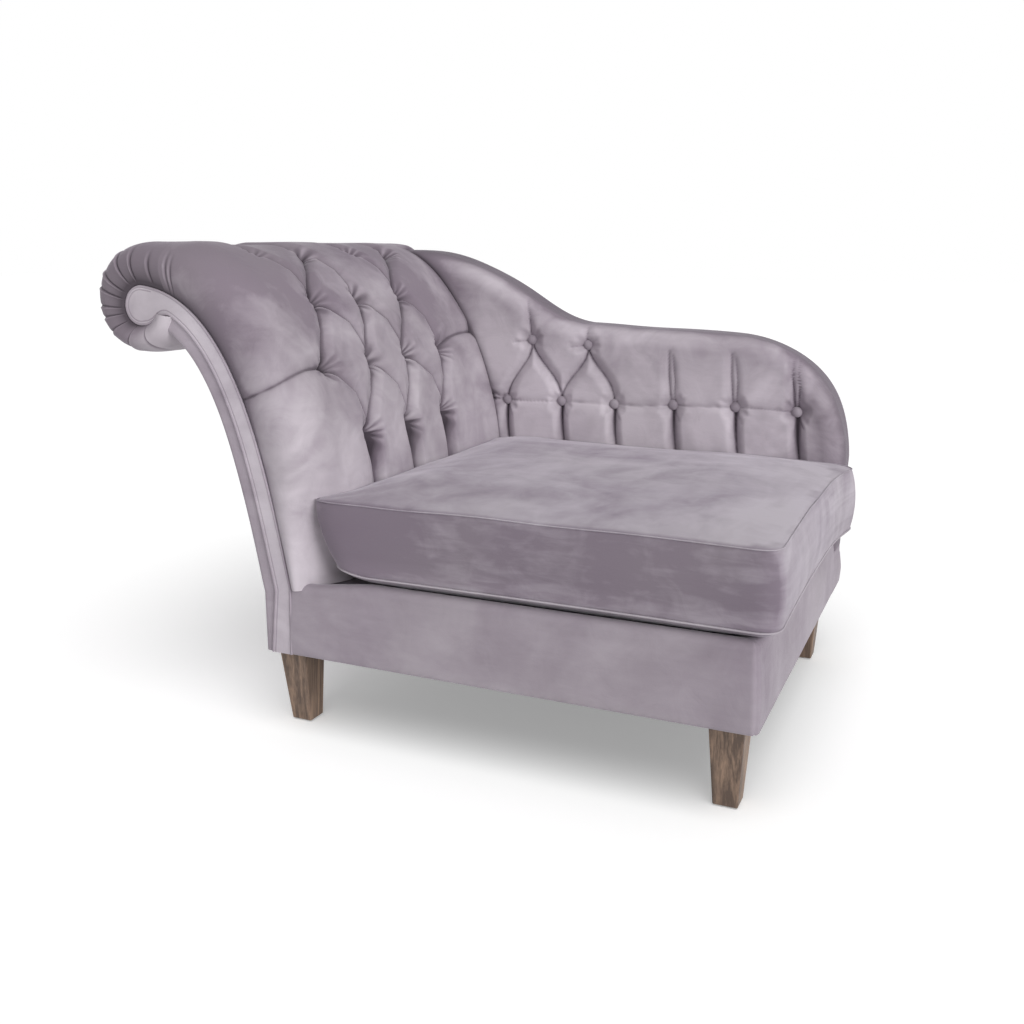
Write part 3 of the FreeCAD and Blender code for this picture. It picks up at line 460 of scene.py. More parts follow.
def near_line(u, v, line):
    """Distance to a bent line, plus on its right, and the share of its length reached."""
    line = np.asarray(line, float)
    reach = lengths(line)
    best, side, share = np.full(u.shape, 1e9), np.ones(u.shape), np.zeros(u.shape)
    for k, (a, b) in enumerate(zip(line, line[1:])):
        d = b - a
        t = unit(((u - a[0]) * d[0] + (v - a[1]) * d[1]) / (d @ d))
        du, dv = u - a[0] - t * d[0], v - a[1] - t * d[1]
        far = np.hypot(du, dv)
        closer = far < best
        best = np.where(closer, far, best)
        side = np.where(closer, np.sign(du * d[1] - dv * d[0]), side)
        share = np.where(closer, (reach[k] + t * (reach[k + 1] - reach[k])) / reach[-1], share)
    return best, side, share


def fold(u, v, line, depths, left, right, power=2.0):
    """Depth of a fold along a line: depths at its start, middle and end, widths on its two sides."""
    far, side, share = near_line(u, v, line)
    width = np.where(side < 0, left, right)
    start, middle, end = depths
    steps = (start, 0.35 * start + 0.65 * middle, middle, 0.35 * end + 0.65 * middle, end)
    depth = np.interp(share, (0, 0.2, 0.5, 0.8, 1), steps)
    return depth * unit(1 - far / width) ** power


def dimple(u, v, place, depth, radius, power=1.6):
    far = np.hypot(u - place[0], v - place[1])
    return depth * unit(1 - far / radius) ** power


def gathers(u, v, place, count, height, inner, outer, turn=0.0):
    """Small creases that run out from a button or tuft."""
    far = np.hypot(u - place[0], v - place[1])
    angle = np.arctan2(v - place[1], u - place[0]) + turn
    ring = unit((far - inner) / inner) * unit(1 - far / outer)
    return height * ring * np.cos(count * angle + 2 * np.sin(2 * angle))


def soft_waves(u, v, height, length, seed):
    """Slow unevenness of hand-stuffed padding."""
    local = np.random.default_rng(seed)
    total = np.zeros(u.shape)
    for _ in range(7):
        angle, phase = local.uniform(0, math.pi), local.uniform(0, 2 * math.pi)
        size = length * local.uniform(0.7, 1.5)
        total += np.sin((u * math.cos(angle) + v * math.sin(angle)) * 2 * math.pi / size + phase)
    return height * total / 4


def fold_line(upper, lower):
    """The bent course of a diamond fold from an upper to a lower tuft, bulging to the right."""
    upper, lower = np.array(upper, float), np.array(lower, float)
    drop, shift = upper[1] - lower[1], lower[0] - upper[0]
    poles = [
        upper,
        upper + (16 + 0.3 * max(shift, 0), -0.1 * drop),
        lower + (8, 0.42 * drop),
        lower,
    ]
    return bezier(poles, np.linspace(0, 1, 12))


# Padded head


def up_the_pad(height):
    """Length along the padding at which its rising face reaches a height."""
    places = np.linspace(0, 2.2, 900)
    points = padded_line(places)
    return float(np.interp(height, points[:, 1], lengths(points)))


def head_padding():
    """The tufted velvet from the seat up over the roll, its folds drawn over a table of points."""
    rows = 470
    fine = np.linspace(0, 4, 4001)
    along = lengths(padded_line(fine))
    places = np.interp(np.linspace(0, along[-1], rows), along, fine)
    bare, full = bare_line(places), padded_line(places)
    reach = np.interp(places, fine, along)
    cap = np.linspace(0, math.pi / 2, 34)
    fullness, spacing = 23, 2.9
    front = front_y + 3 + pad_round * (1 - np.cos(cap)) - fullness * np.sin(2 * cap)
    middle = np.arange(front[-1], -front[-1], spacing)[1:-1]
    y = np.concatenate([[front_y + 8], front, middle, -front[::-1], [back_y - 8]])
    # Each column's share of the full padding, which falls away towards the two sides
    share = np.concatenate([[0], np.sin(cap), np.ones(len(middle)), np.sin(cap[::-1]), [0]])[None, :]
    points = np.empty((len(places), y.size, 3))
    flat = bare[:, None] + (full - bare)[:, None] * share[..., None]
    points[..., 0], points[..., 2] = flat[..., 0], flat[..., 1]
    points[..., 1] = y[None, :]
    u = np.broadcast_to(y[None, :], points.shape[:2])
    v = np.broadcast_to(reach[:, None], points.shape[:2])

    tufts = [
        [(place, up_the_pad(height)) for place in row]
        for height, row in (
            (864, (-270, -117, 58, 201)),
            (774, (-229, -79, 88)),
            (655, (-295, -141, -1, 146)),
            (525, (-218, -66, 86)),
        )
    ]
    sunk, creases, painted_highlight, painted_pocket_shade = np.zeros((4, *u.shape))

    def press(line, depths, left=34.0, right=34.0, slit=4.5, light=0.0):
        nonlocal sunk, creases, painted_highlight
        sunk = np.maximum(sunk, fold(u, v, line, depths, left, right))
        slits = [0.15 * d + 3 for d in depths]
        creases = np.maximum(creases, (1 - light) * fold(u, v, line, slits, slit, slit, 1.2))
        # Lighter folds get a shallower crease and a painted highlight along one side of it
        if light:
            far, side, _ = near_line(u, v, line)
            painted_highlight = np.maximum(painted_highlight, light * unit(1 - np.abs(far - 4) / 4.5) * (side > 0))

    # Diamond folds from each tuft to its neighbours in the row below
    for upper, lower in zip(tufts, tufts[1:]):
        for a in upper:
            for b in lower:
                shift = b[0] - a[0]
                if -130 < shift < 0:
                    press(fold_line(a, b), (26, 6, 26), 22.0, 34.0)
                elif 0 < shift < 150:
                    press(fold_line(a, b), (24, 3.5, 24), 26.0, 26.0, 4.0, 0.4)
    # Folds from the last row down to the seat
    for x, height in tufts[3]:
        press([(x, height), (x + 4, height - 60), (x + 6, 0.0)], (38, 15, 5), 15.0, 46.0)
    # Folds from the third row out to the two sides
    for (x, height), steps in (
        (tufts[2][0], ((-330, 4), (-370, 6), (-432, -12))),
        (tufts[2][3], ((200, 26), (250, 30), (322, 26))),
    ):
        poles = [(x, height), *((place, height + rise) for place, rise in steps)]
        press(bezier(poles, np.linspace(0, 1, 12)), (24, 5, 5), 34.0, 26.0)
    # Folds from the first row up over the roll
    for x, height in tufts[0]:
        press([(x, height), (x - 6, height + 70), (x - 8, along[-1])], (17, 4, 5), 34.0, 40.0, 4.0)
    for row in tufts:
        for number, a in enumerate(row):
            # The first tuft lies at the facing, where it is shallow
            depth = 16 if a == tufts[0][0] else 42
            sunk = np.maximum(sunk, dimple(u, v, a, depth, 36, 1.9))
            rays = gathers(u, v, a, 9, 1.6, 8, 44, number * 1.3)
            sunk = sunk + rays
            # Painted shade in each tuft's pit and along its gathers
            pit = hump(np.hypot(u - a[0], v - a[1] + 2) / 7.0)
            painted_pocket_shade = painted_pocket_shade + 0.3 * rays + 1.3 * pit
    for a in tufts[3]:
        right, below = u - a[0] - 2, a[1] - v
        # Painted shade in the lee of the last row's folds
        painted_lee_shade = unit(1 - right / 36) * unit(1 - below / 78)
        painted_pocket_shade = painted_pocket_shade + 1.2 * painted_lee_shade * (right > 0) * (below > 0)
    bulge = 4.5 * unit(1 - sunk / 6) ** 2
    grown = share**2 * (3 - 2 * share)
    level = -(sunk + creases) + bulge * grown + soft_waves(u, v, 1.6, 230, 3)

    # Gathered folds over the roll's two ends: their angle, height, length and how far out they start
    start = float(np.interp(3, fine, along))
    painted_fold_light_and_shade = np.zeros(u.shape)
    for angle, height, length, top in (
        (57, 3.0, 30, 0.8),
        (62, 3.2, 34, 0.85),
        (78, 3.4, 34, 0.85),
        (97, 4.0, 36, 0.95),
        (121, 4.4, 34, 1.1),
        (148, 4.4, 30, 1.3),
        (167, 4.0, 28, 1.3),
        (190, 3.0, 24, 1.3),
        (206, 3.2, 22, 1.3),
        (228, 3.0, 22, 1.3),
        (259, 3.6, 26, 1.3),
        (292, 2.6, 20, 1.3),
    ):
        crease_v = start + math.radians(angle - 90) * roll_radius * (1.0 if angle > 90 else 1.55)
        step = (v - crease_v) / (0.36 + 0.64 * np.maximum(share, 0.05))
        ridge, groove = hump((step - 1.5) / 2.6), hump((step + 4.5) / 4.0)
        slope = np.where(step > 0, np.exp(-step / 14), -np.exp(step / 14)) * unit(np.abs(step) / 2)
        depth_in = np.minimum(u - front_y, back_y - u)
        ends = unit(1 - (depth_in - length) / 40) * unit(share * 6)
        ends = ends * unit((top - share) / 0.3)
        level = level + height * (0.35 * ridge - 0.55 * groove + 0.3 * slope) * ends
        # Painted highlight on each fold's ridge and painted shade in its groove
        painted_fold_light_and_shade = painted_fold_light_and_shade + (0.5 * ridge - 0.6 * groove) * ends
    # Two shallow dips in the crest
    crest = unit((points[..., 2] - 820) / 50)
    level = level - (9 * hump((u + 198) / 70) + 3 * hump((u - 120) / 45)) * crest
    # Rounded off where the padding meets the arm
    away = np.hypot(np.maximum(arm_head_x - points[..., 0], 0), np.maximum(arm_face - 0.4 - u, 0))
    seam = 15.0
    level -= seam - np.sqrt(np.maximum(seam**2 - np.maximum(seam - away, 0) ** 2, 0))
    hidden = (points[..., 0] > arm_head_x) & (u > arm_face)
    level = np.where(hidden, -30, level)
    fade = unit(share * 5) * np.clip((reach + 4) / 24, 0.2, 1)[:, None]
    normal = outward(points)
    points = points + normal * (level * fade)[..., None]
    # Pressed back by the cushion's front corner
    low_down = unit((520 - points[..., 2]) / 140)
    beside = unit((-335 - points[..., 1]) / 70) * low_down**2 * (3 - 2 * low_down)
    points[..., 0] -= 32 * beside * share
    piece = cloth_grid("head_padding", points)
    # Painted shade in the folds and pockets, beside the arm and along the front facing, a painted
    # highlight beside the lighter folds, and painted light and shade over the rest: darker over the roll's
    # ends, its top and higher up, lighter under the roll and low down towards the front
    dark = -0.022 * np.clip(sunk, 0, 42) - 0.13 * creases + painted_highlight - painted_pocket_shade
    painted_shade_by_arm = unit((u - arm_face + 60) / 40) * (points[..., 0] > arm_head_x)
    dark = dark - 1.0 * painted_shade_by_arm * np.exp(-away / 9)
    dark = dark - 1.0 * np.exp(-share / 0.14) * (points[..., 1] < 0)
    painted_shade_roll_end = unit(1 - share) * (reach[:, None] > start - 60)
    painted_light_low = unit(1 - reach[:, None] / 420) * unit((-200 - u) / 120)
    painted_shade_roll_top = unit((points[..., 2] - 800) / 80)
    painted_light_under_roll = unit((reach[:, None] - start - 270) / 90)
    painted_shade_higher_up = unit((points[..., 2] - 500) / 260)
    lean = -0.36 * painted_shade_roll_end - 0.15 * painted_shade_roll_top - 0.4 * painted_shade_higher_up + 0.8 * painted_light_under_roll + 0.42 * painted_light_low
    keep_painted_light_and_shade(piece, dark + painted_fold_light_and_shade + lean)
    # What lies inside the arm is cut away
    bm = bmesh.new()
    bm.from_mesh(piece.data)
    centres = [(face, face.calc_center_median() * 1000) for face in bm.faces]
    lost = [face for face, at in centres if at.y > arm_face + 4 and at.x > arm_head_x + 4]
    bmesh.ops.delete(bm, geom=lost, context="FACES")
    bm.to_mesh(piece.data)
    bm.free()
    finished(piece, "velvet_head")
    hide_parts("head_cover", "head_foam")


# Facings, their piping and the outside cover


def strip_line(distance, places):
    """Points of a line beside the sweep, extended down to the base's lower edge."""
    upper = bezier(sweep_poles, np.linspace(0, 1, 400))
    upper = upper + sides(upper) * distance
    low = np.array([(upper[0][0], z) for z in np.linspace(leg_height, upper[0][1], 60)])[:-1]
    return at_shares(np.concatenate([low, upper]), places)


def facing_edge(inset):
    """The facing's outline: up its inner edge, round its head and down its outer edge."""
    inner = strip_line(-inset, np.linspace(0, 1, 90))
    outer = strip_line(inset - facing_width, np.linspace(0, 1, 240))[::-1]
    below = outer[:, 1] < pad_foot
    wide = (facing_foot_width - facing_width) * (pad_foot - outer[:, 1]) / (pad_foot - leg_height)
    outer[:, 0] -= np.where(below, wide, 0)
    outer = outer[np.linalg.norm(outer - head_centre, axis=1) > head_radius - inset]
    first = outer[0] - head_centre
    last = 2 * math.pi + math.atan2(first[1], first[0])
    turn = np.linspace(math.pi / 2, last, 46)[1:-1]
    head = arc(head_centre, head_radius - inset, turn)
    line = np.concatenate([inner, head, outer])
    # The throat is bridged by a soft wave from the round head to the neck
    before, after = len(inner) + int(44 * 0.72), len(inner) + len(head) + 12
    start, end = line[before], line[after]
    wave = bezier([start, start + (24, -1), end + (-26, 11), end], np.linspace(0, 1, after - before + 1))
    line[before : after + 1] = wave
    return line


def facing(side):
    """A padded facing: its outline filled, thickened and rounded towards the edge."""
    name = "front" if side < 0 else "back"
    inner_y = side * (back_y - 8)
    bm = bmesh.new()
    corners = [bm.verts.new((x / 1000, inner_y / 1000, z / 1000)) for x, z in facing_edge(2.5)]
    face = bm.faces.new(corners)
    bm.normal_update()
    if face.normal.y * side < 0:
        face.normal_flip()
    for depth, rise in ((2.2, 3.2), (2.4, 2.2), (3.0, 1.5), (4.5, 1.2)):
        thickness, depth = depth / 1000, rise / 1000
        bmesh.ops.inset_region(bm, faces=[face], thickness=thickness, depth=depth, use_even_offset=True)
    bmesh.ops.triangulate(bm, faces=[face])
    for vertex in bm.verts:
        vertex.co.y = side * min(abs(vertex.co.y), (back_y + 1.5) / 1000)
    mesh = as_mesh(bm, "facing_" + name + "_padded")
    mesh.shade_smooth()
    piece = placed(mesh.name, mesh)
    finished(piece, "velvet_facing")
    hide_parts("facing_" + name)
    # Two rows of piping, of which the second runs only round the head and down the outer edge
    for number, (inset, radius, first) in enumerate(((1.2, 2.4, 0), (6.8, 2.0, 86))):
        depth = side * (back_y - 1.0 - 0.4 * number)
        edge = [(x, depth, z) for x, z in facing_edge(inset)[first:]]
        pipe = piping("facing_piping_%s_%d" % (name, number), edge, radius, "velvet_band")
        if number == 0:
            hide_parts("facing_welt_" + name)


def piping(name, points, radius, finish, cyclic=False):
    """A thin covered cord sewn into a seam."""
    data = bpy.data.curves.new(name, "CURVE")
    data.dimensions = "3D"
    data.bevel_depth = radius / 1000
    data.bevel_resolution = 3
    spline = data.splines.new("POLY")
    spline.points.add(len(points) - 1)
    spline.points.foreach_set("co", [c for x, y, z in points for c in (x / 1000, y / 1000, z / 1000, 1)])
    spline.use_cyclic_u = cyclic
    spline.use_smooth = True
    return finished(placed(name, data), finish)


def outside_head():
    """The cover over the scroll's back and round both its sides, up to the roll's throat."""
    places = np.linspace(0, 1, 260)
    corner, side_y = 9.0, back_y - 3.5
    flat_end, flat_y = strip_width - corner, side_y - corner
    section = [(d, side_y) for d in np.linspace(facing_width - 2, flat_end, 7)[:-1]]
    for t in np.linspace(0, math.pi / 2, 7):
        section.append((flat_end + corner * math.sin(t), flat_y + corner * math.cos(t)))
    middle = [(strip_width, y) for y in np.linspace(-flat_y, flat_y, 90)[1:-1]]
    path = [(d, -y) for d, y in section] + middle + section[::-1]
    table = np.empty((len(places), len(path), 3))
    for column, (distance, y) in enumerate(path):
        line = strip_line(-distance, places)
        below = unit((pad_foot - line[:, 1]) / (pad_foot - leg_height))
        line[:, 0] += below * (4.0 if distance > 50 else -7.0 if distance < 36 else 0)
        table[:, column, 0], table[:, column, 1], table[:, column, 2] = line[:, 0], y, line[:, 1]
    # It ends where all of a row lies well inside the roll
    inside = np.hypot(table[..., 0] - roll_centre[0], table[..., 2] - roll_centre[1]) < roll_radius - 45
    keep = ~inside.all(axis=1)
    table = table[: int(np.argmin(keep)) if not keep.all() else len(keep)]
    normal = -outward(table)
    u, v = table[..., 1], table[..., 2]
    puff = 2.2 * np.sin(unit((u + 414) / 828) * math.pi) ** 0.5 + soft_waves(u, v, 0.8, 260, 11)
    table = table + normal * puff[..., None]
    piece = cloth_grid("head_outside_cloth", table)
    finished(piece, "velvet_band")
    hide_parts("head_outside_cover")


# Arm


def arm_top_line(inset, count):
    """The arm's outline seen from the front, from its crown at the roll down to its foot."""
    crown = [(-410, 868), (-165, 868), (-75, 716.5), (55, 700.5)]
    saddle = [(55, 700.5), (115, 697.5), (349, 691), (409, 685)]
    knee = [(409, 685), (568, 669), (632, 557), (632, 430)]
    shares = np.linspace(0, 1, 120)
    line = np.concatenate([bezier(crown, shares), bezier(saddle, shares)[1:], bezier(knee, shares)[1:]])
    down = np.stack([np.linspace(632, 617, 40), np.linspace(430, 236, 40)], 1)[1:]
    line = np.concatenate([line, down])
    line = at_shares(line + sides(line) * inset, np.linspace(0, 1, count))
    line[:, 0] = np.maximum(line[:, 0], arm_head_x + 2)
    return line


def sweep_edge(heights):
    """X just clear of the frame's sweep at some heights."""
    sweep = bezier(sweep_poles, np.linspace(0, 1, 200))
    return np.interp(heights, sweep[:, 1], sweep[:, 0]) + 1


def arm_padding():
    """The arm's face, top and end with its eight buttons."""
    columns, round_in, round_deep, edge_in = 400, 40, 44, 9
    top = arm_top_line(round_in, columns)
    shift = np.linspace(0, 1, columns) ** 1.4
    low_x = -230 + (top[-1][0] + 230) * shift
    bottom = np.stack([np.minimum(low_x, top[:, 0] + 190), np.full(columns, 236.0)], 1)
    # Rows of lines at a depth: up the face, round to the top, over it and round to the back
    rows = [(bottom + (top - bottom) * share, arm_face) for share in np.linspace(0, 1, 130)]
    for turn in np.linspace(0, math.pi / 2, 16)[1:]:
        line = arm_top_line(round_in * (1 - math.sin(turn)), columns)
        rows.append((line, arm_face + round_deep * (1 - math.cos(turn))))
    line = arm_top_line(0, columns)
    rows += [(line, y) for y in np.linspace(arm_face + round_deep, back_y - 12, 16)[1:]]
    for turn in np.linspace(0, math.pi / 2, 6)[1:]:
        line = arm_top_line(edge_in * (1 - math.cos(turn)), columns)
        rows.append((line, back_y - 12 + 10 * math.sin(turn)))
    points = np.array([np.stack([line[:, 0], np.full(columns, y), line[:, 1]], 1) for line, y in rows])
    # Its end at the roll is closed towards one point
    corner = np.array((arm_head_x + 2, back_y - 4, 745.0))
    closing = [points[:, :1] + (corner - points[:, :1]) * share for share in np.linspace(1, 0, 9)[:-1]]
    points = np.concatenate([*closing, points], axis=1)
    u, v = points[..., 0], points[..., 2]
    lower = [(-132, 521), (4, 524), (131, 524), (267, 530), (404, 533), (534, 530)]
    upper = [(-69, 662), (68, 655)]
    sunk, creases = np.zeros((2, *u.shape))

    def press(line, depths, width=26.0, slit=4.0):
        nonlocal sunk, creases
        sunk = np.maximum(sunk, fold(u, v, line, depths, width, width))
        slits = [0.2 * d + 2.2 for d in depths]
        creases = np.maximum(creases, fold(u, v, line, slits, slit, slit, 1.2))

    # Folds from the lower buttons down and up, between the two rows, and from the upper ones up
    for number, (x, z) in enumerate(lower):
        press([(x, z), (x + 3, z - 60), (x + 8, 420)], (17, 9, 6), 22.0)
        press([(x, z), (x + 16, z - 34)], (8, 3, 0), 16.0)
        if number >= 3:
            press([(x - 3, z), (x - 8, z + 70), (x - 8, 648)], (9, 3.5, 1.5), 22.0, 3.0)
            press([(x + 4, z), (x + 6, z + 55), (x + 1, 640)], (7, 2.5, 0.8), 16.0, 3.0)
    for first, second in ((0, 0), (1, 0), (1, 1), (2, 1)):
        (x0, z0), (x1, z1) = lower[first], upper[second]
        poles = [(x1, z1), (x1 + 8, z1 - 50), (x0 + 6, z0 + 60), (x0, z0)]
        press(bezier(poles, np.linspace(0, 1, 9)), (12, 6, 12))
    for x, z in upper:
        press([(x, z), (x - 4, z + 60), (x - 18, z + 105)], (9, 4, 1.5), 22.0, 3.0)
        press([(x, z), (x - 44, z - 6)], (8, 3, 0), 16.0, 3.0)
    # Level folds from the first button to the head, and from each button to the next
    x, z = lower[0]
    for rise in (2, 12):
        press([(x, z + rise * 0.5), (x - 32, z + rise), (-200, z + rise)], (8, 4, 3), 14.0, 3.0)
    for (x0, z0), (x1, z1) in zip(lower, lower[1:]):
        press([(x0, z0), ((x0 + x1) / 2, z0 + 1), (x1, z1)], (5, 0.8, 5), 16.0, 2.0)
    for number, place in enumerate(lower + upper):
        sunk = np.maximum(sunk, dimple(u, v, place, 18, 36, 1.7))
        sunk = sunk + gathers(u, v, place, 8, 1.4, 12, 44, number * 0.9)
    face = unit(1 - (points[..., 1] - arm_face) / 30)
    bulge = 3.0 * unit(1 - sunk / 4) ** 2
    level = (-(sunk + creases) + bulge) * face + soft_waves(u, v + points[..., 1], 1.5, 210, 5)
    normal = -outward(points)
    # On the arm's face, here near its middle, the normal has to point to the front
    if normal[60, 200, 1] > 0:
        normal = -normal
    points = points + normal * level[..., None]
    points[..., 0] = np.maximum(points[..., 0], sweep_edge(points[..., 2]))
    piece = cloth_grid("arm_padding", points)
    # Painted shade in the folds, beside the head's padding, over the top, round the knee, along the face's
    # upper band and towards the head end, and painted light on the rest of the face
    dark = (-0.045 * np.clip(sunk, 0, 20) - 0.14 * creases) * face
    over = unit((points[..., 1] - arm_face - 12) / 34)
    head_end = unit((-180 - points[..., 0]) / 160)
    pad = padded_line(np.linspace(0, 1.999, 300))
    seam = np.interp(points[..., 2], pad[:, 1], pad[:, 0])
    dark = dark - 1.1 * np.exp(-np.clip(points[..., 0] - seam, 0, 200) / 10) * face
    knee = unit((points[..., 0] - 490) / 80) * (1 - over)
    band = unit((np.arange(len(points))[:, None] - 98) / 30) * (1 - over)
    # A painted shadow widens below each lower button
    for x, z in lower:
        right, below = points[..., 0] - x, z - points[..., 2]
        painted_streak_shade = unit(1 - np.abs(right - 3) / (5 + 0.16 * below))
        dark = dark - painted_streak_shade * (below > 0) * (1 - below / 130).clip(0)
    # Painted light on the arm's face away from its head end
    lit = 0.42 * (1 - over) * (1 - head_end)
    keep_painted_light_and_shade(piece, dark - 0.8 * over + lit - 0.3 * head_end - 0.6 * knee - 0.32 * band)
    finished(piece, "velvet_arm")
    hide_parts("arm_inside_cover", "arm_foam")
    for number, (x, z) in enumerate(lower + upper):
        radius = 0.0115
        bm = bmesh.new()
        bmesh.ops.create_uvsphere(bm, u_segments=28, v_segments=16, radius=radius)
        bmesh.ops.scale(bm, vec=(1, 0.48, 1), verts=bm.verts)
        for vertex in bm.verts:
            rim = min(1.0, math.hypot(vertex.co.x, vertex.co.z) / radius)
            vertex.co.y *= 1 - 0.25 * rim**4
        bmesh.ops.translate(bm, vec=(x / 1000, (arm_face + 10.5) / 1000, z / 1000), verts=bm.verts)
        mesh = as_mesh(bm, "arm_button_%d" % number)
        mesh.shade_smooth()
        button = finished(placed(mesh.name, mesh), "velvet_button")
        if number == 0:
            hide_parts("arm_buttons")


def outside_back():
    """The flat cloth over the back of the arm and base, stretched between its edges."""
    columns, rows = 220, 120
    top = arm_top_line(9, columns)
    top[:, 0] = np.maximum(top[:, 0], -405)
    low_x = np.linspace(facing_foot_x, 608, columns)
    bottom = np.stack([low_x, np.full(columns, leg_height)], 1)
    points = np.empty((rows, columns, 3))
    for row, share in enumerate(np.linspace(0, 1, rows)):
        flat = bottom + (top - bottom) * share
        points[row, :, 0], points[row, :, 2] = flat[:, 0], flat[:, 1]
    row_share = np.linspace(0, 1, rows)[:, None]
    column_share = np.linspace(0, 1, columns)[None, :]
    # Its left edge follows the head end's back
    edge = sweep_edge(points[..., 2])
    left = np.maximum(edge[:, :1], arm_head_x + 2)
    points[..., 0] += (left - points[:, :1, 0]) * (1 - column_share) ** 3
    points[..., 0] = np.maximum(points[..., 0], edge)
    from_ends = np.minimum(row_share, 1 - row_share) * 9
    from_sides = np.minimum(column_share, 1 - column_share) * 16
    rim = np.minimum(from_ends, from_sides)
    puff = 3.0 * unit(rim) ** 0.5
    points[..., 1] = back_y - 3.5 + puff + soft_waves(points[..., 0], points[..., 2], 0.7, 300, 9)
    piece = cloth_grid("outside_back_cloth", points)
    finished(piece, "velvet")
    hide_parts("outside_back_cover")
    piping("arm_back_piping", [(x, back_y - 3.0, z) for x, z in arm_top_line(7, 200)], 2.2, "velvet_band")


# Base


def edge_roll(depth):
    """Height of the base's soft top edge, at a depth behind its face."""
    return base_top + 23 - 22.4 * unit((depth - 13) / 43) ** 2


def base_panels():
    """The padded band along the front and the foot end, turned over its top edge."""
    corner = 12.0
    turn = np.linspace(-math.pi / 2, 0, 12)
    plan = [(x, front_y, 0.0, -1.0) for x in np.linspace(band_start_x, foot_x - corner, 240)]
    for c, s in zip(np.cos(turn[1:]), np.sin(turn[1:])):
        plan.append((foot_x - corner + corner * c, front_y + corner + corner * s, c, s))
    plan += [(foot_x, y, 1.0, 0.0) for y in np.linspace(front_y + corner, arm_face - 0.5, 200)[1:]]
    plan += [(foot_x, y, 1.0, 0.0) for y in np.linspace(arm_face + 1.5, back_y - 2.5, 28)]
    plan = np.array(plan)
    roll, rise = 13.0, base_top + 23
    section = [(6.0, leg_height + 1.5), (2.0, leg_height + 0.4), (0.0, leg_height + 3)]
    section += [(0.0, z) for z in np.linspace(leg_height + 6, rise - roll, 34)]
    for t in np.linspace(0, math.pi / 2, 10)[1:]:
        section.append((roll - roll * math.cos(t), rise - roll + roll * math.sin(t)))
    section += [(d, float(edge_roll(d))) for d in np.linspace(roll, 56, 14)[1:]]
    section = np.array(section)
    points = np.empty((len(section), len(plan), 3))
    inward = section[:, None, 0]
    points[..., 0] = np.minimum(plan[None, :, 0] - plan[None, :, 2] * inward, foot_x - inward)
    points[..., 1] = np.maximum(plan[None, :, 1] - plan[None, :, 3] * inward, front_y + inward)
    points[..., 2] = section[:, None, 1]
    reach = lengths(plan[:, :2])
    u = np.broadcast_to(reach[None, :], points.shape[:2])
    v = points[..., 2]
    face = unit(1 - np.abs(v - 205) / 55) ** 0.5
    level = 3.5 * face + soft_waves(u, v * 1.6, 1.0, 170, 21) * face
    # A seam in the middle of the corner
    seam = (reach[239] + reach[250]) / 2
    level = level - 2.4 * unit(1 - np.abs(u - seam) / 4)
    points[..., 0] += plan[None, :, 2] * level
    points[..., 1] += plan[None, :, 3] * level
    # Under the arm's end the band is lower and plain, and near the head end its top edge sinks
    under_arm = plan[None, :, 1] > arm_face
    points[..., 2] = np.where(under_arm, leg_height + (points[..., 2] - leg_height) * 0.62, points[..., 2])
    points[..., 0] = np.where(under_arm & (inward > 6), foot_x - 1, points[..., 0])
    lower_end = unit((-60 - points[..., 0]) / 110) * unit((points[..., 2] - 200) / 80)
    points[..., 2] -= 14 * lower_end
    piece = cloth_grid("base_panels", points)
    # Painted shade on the band's top, darker further in under the cushion
    keep_painted_light_and_shade(piece, np.broadcast_to(-0.03 * np.clip(inward - 12, 0, 16), points.shape[:2]))
    finished(piece, "velvet_base")
    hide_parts("front_cover", "foot_cover")
    joint = [(band_start_x - 0.5, front_y - 1.0, z) for z in np.linspace(leg_height + 1, base_top, 30)]
    piping("base_joint_piping", joint, 1.9, "velvet_band")


def stretched_sheet(name, node, finish):
    """A cloth stretched flat over the frame."""
    low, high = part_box(node)
    grid = 60
    x = np.linspace(low.x, high.x, grid) * 1000
    y = np.linspace(low.y, high.y, grid) * 1000
    points = np.empty((grid, grid, 3))
    points[..., 0], points[..., 1] = x[None, :], y[:, None]
    points[..., 2] = (low.z + high.z) * 500
    piece = cloth_grid(name, points)
    finished(piece, finish)
    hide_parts(node)


# Cushion


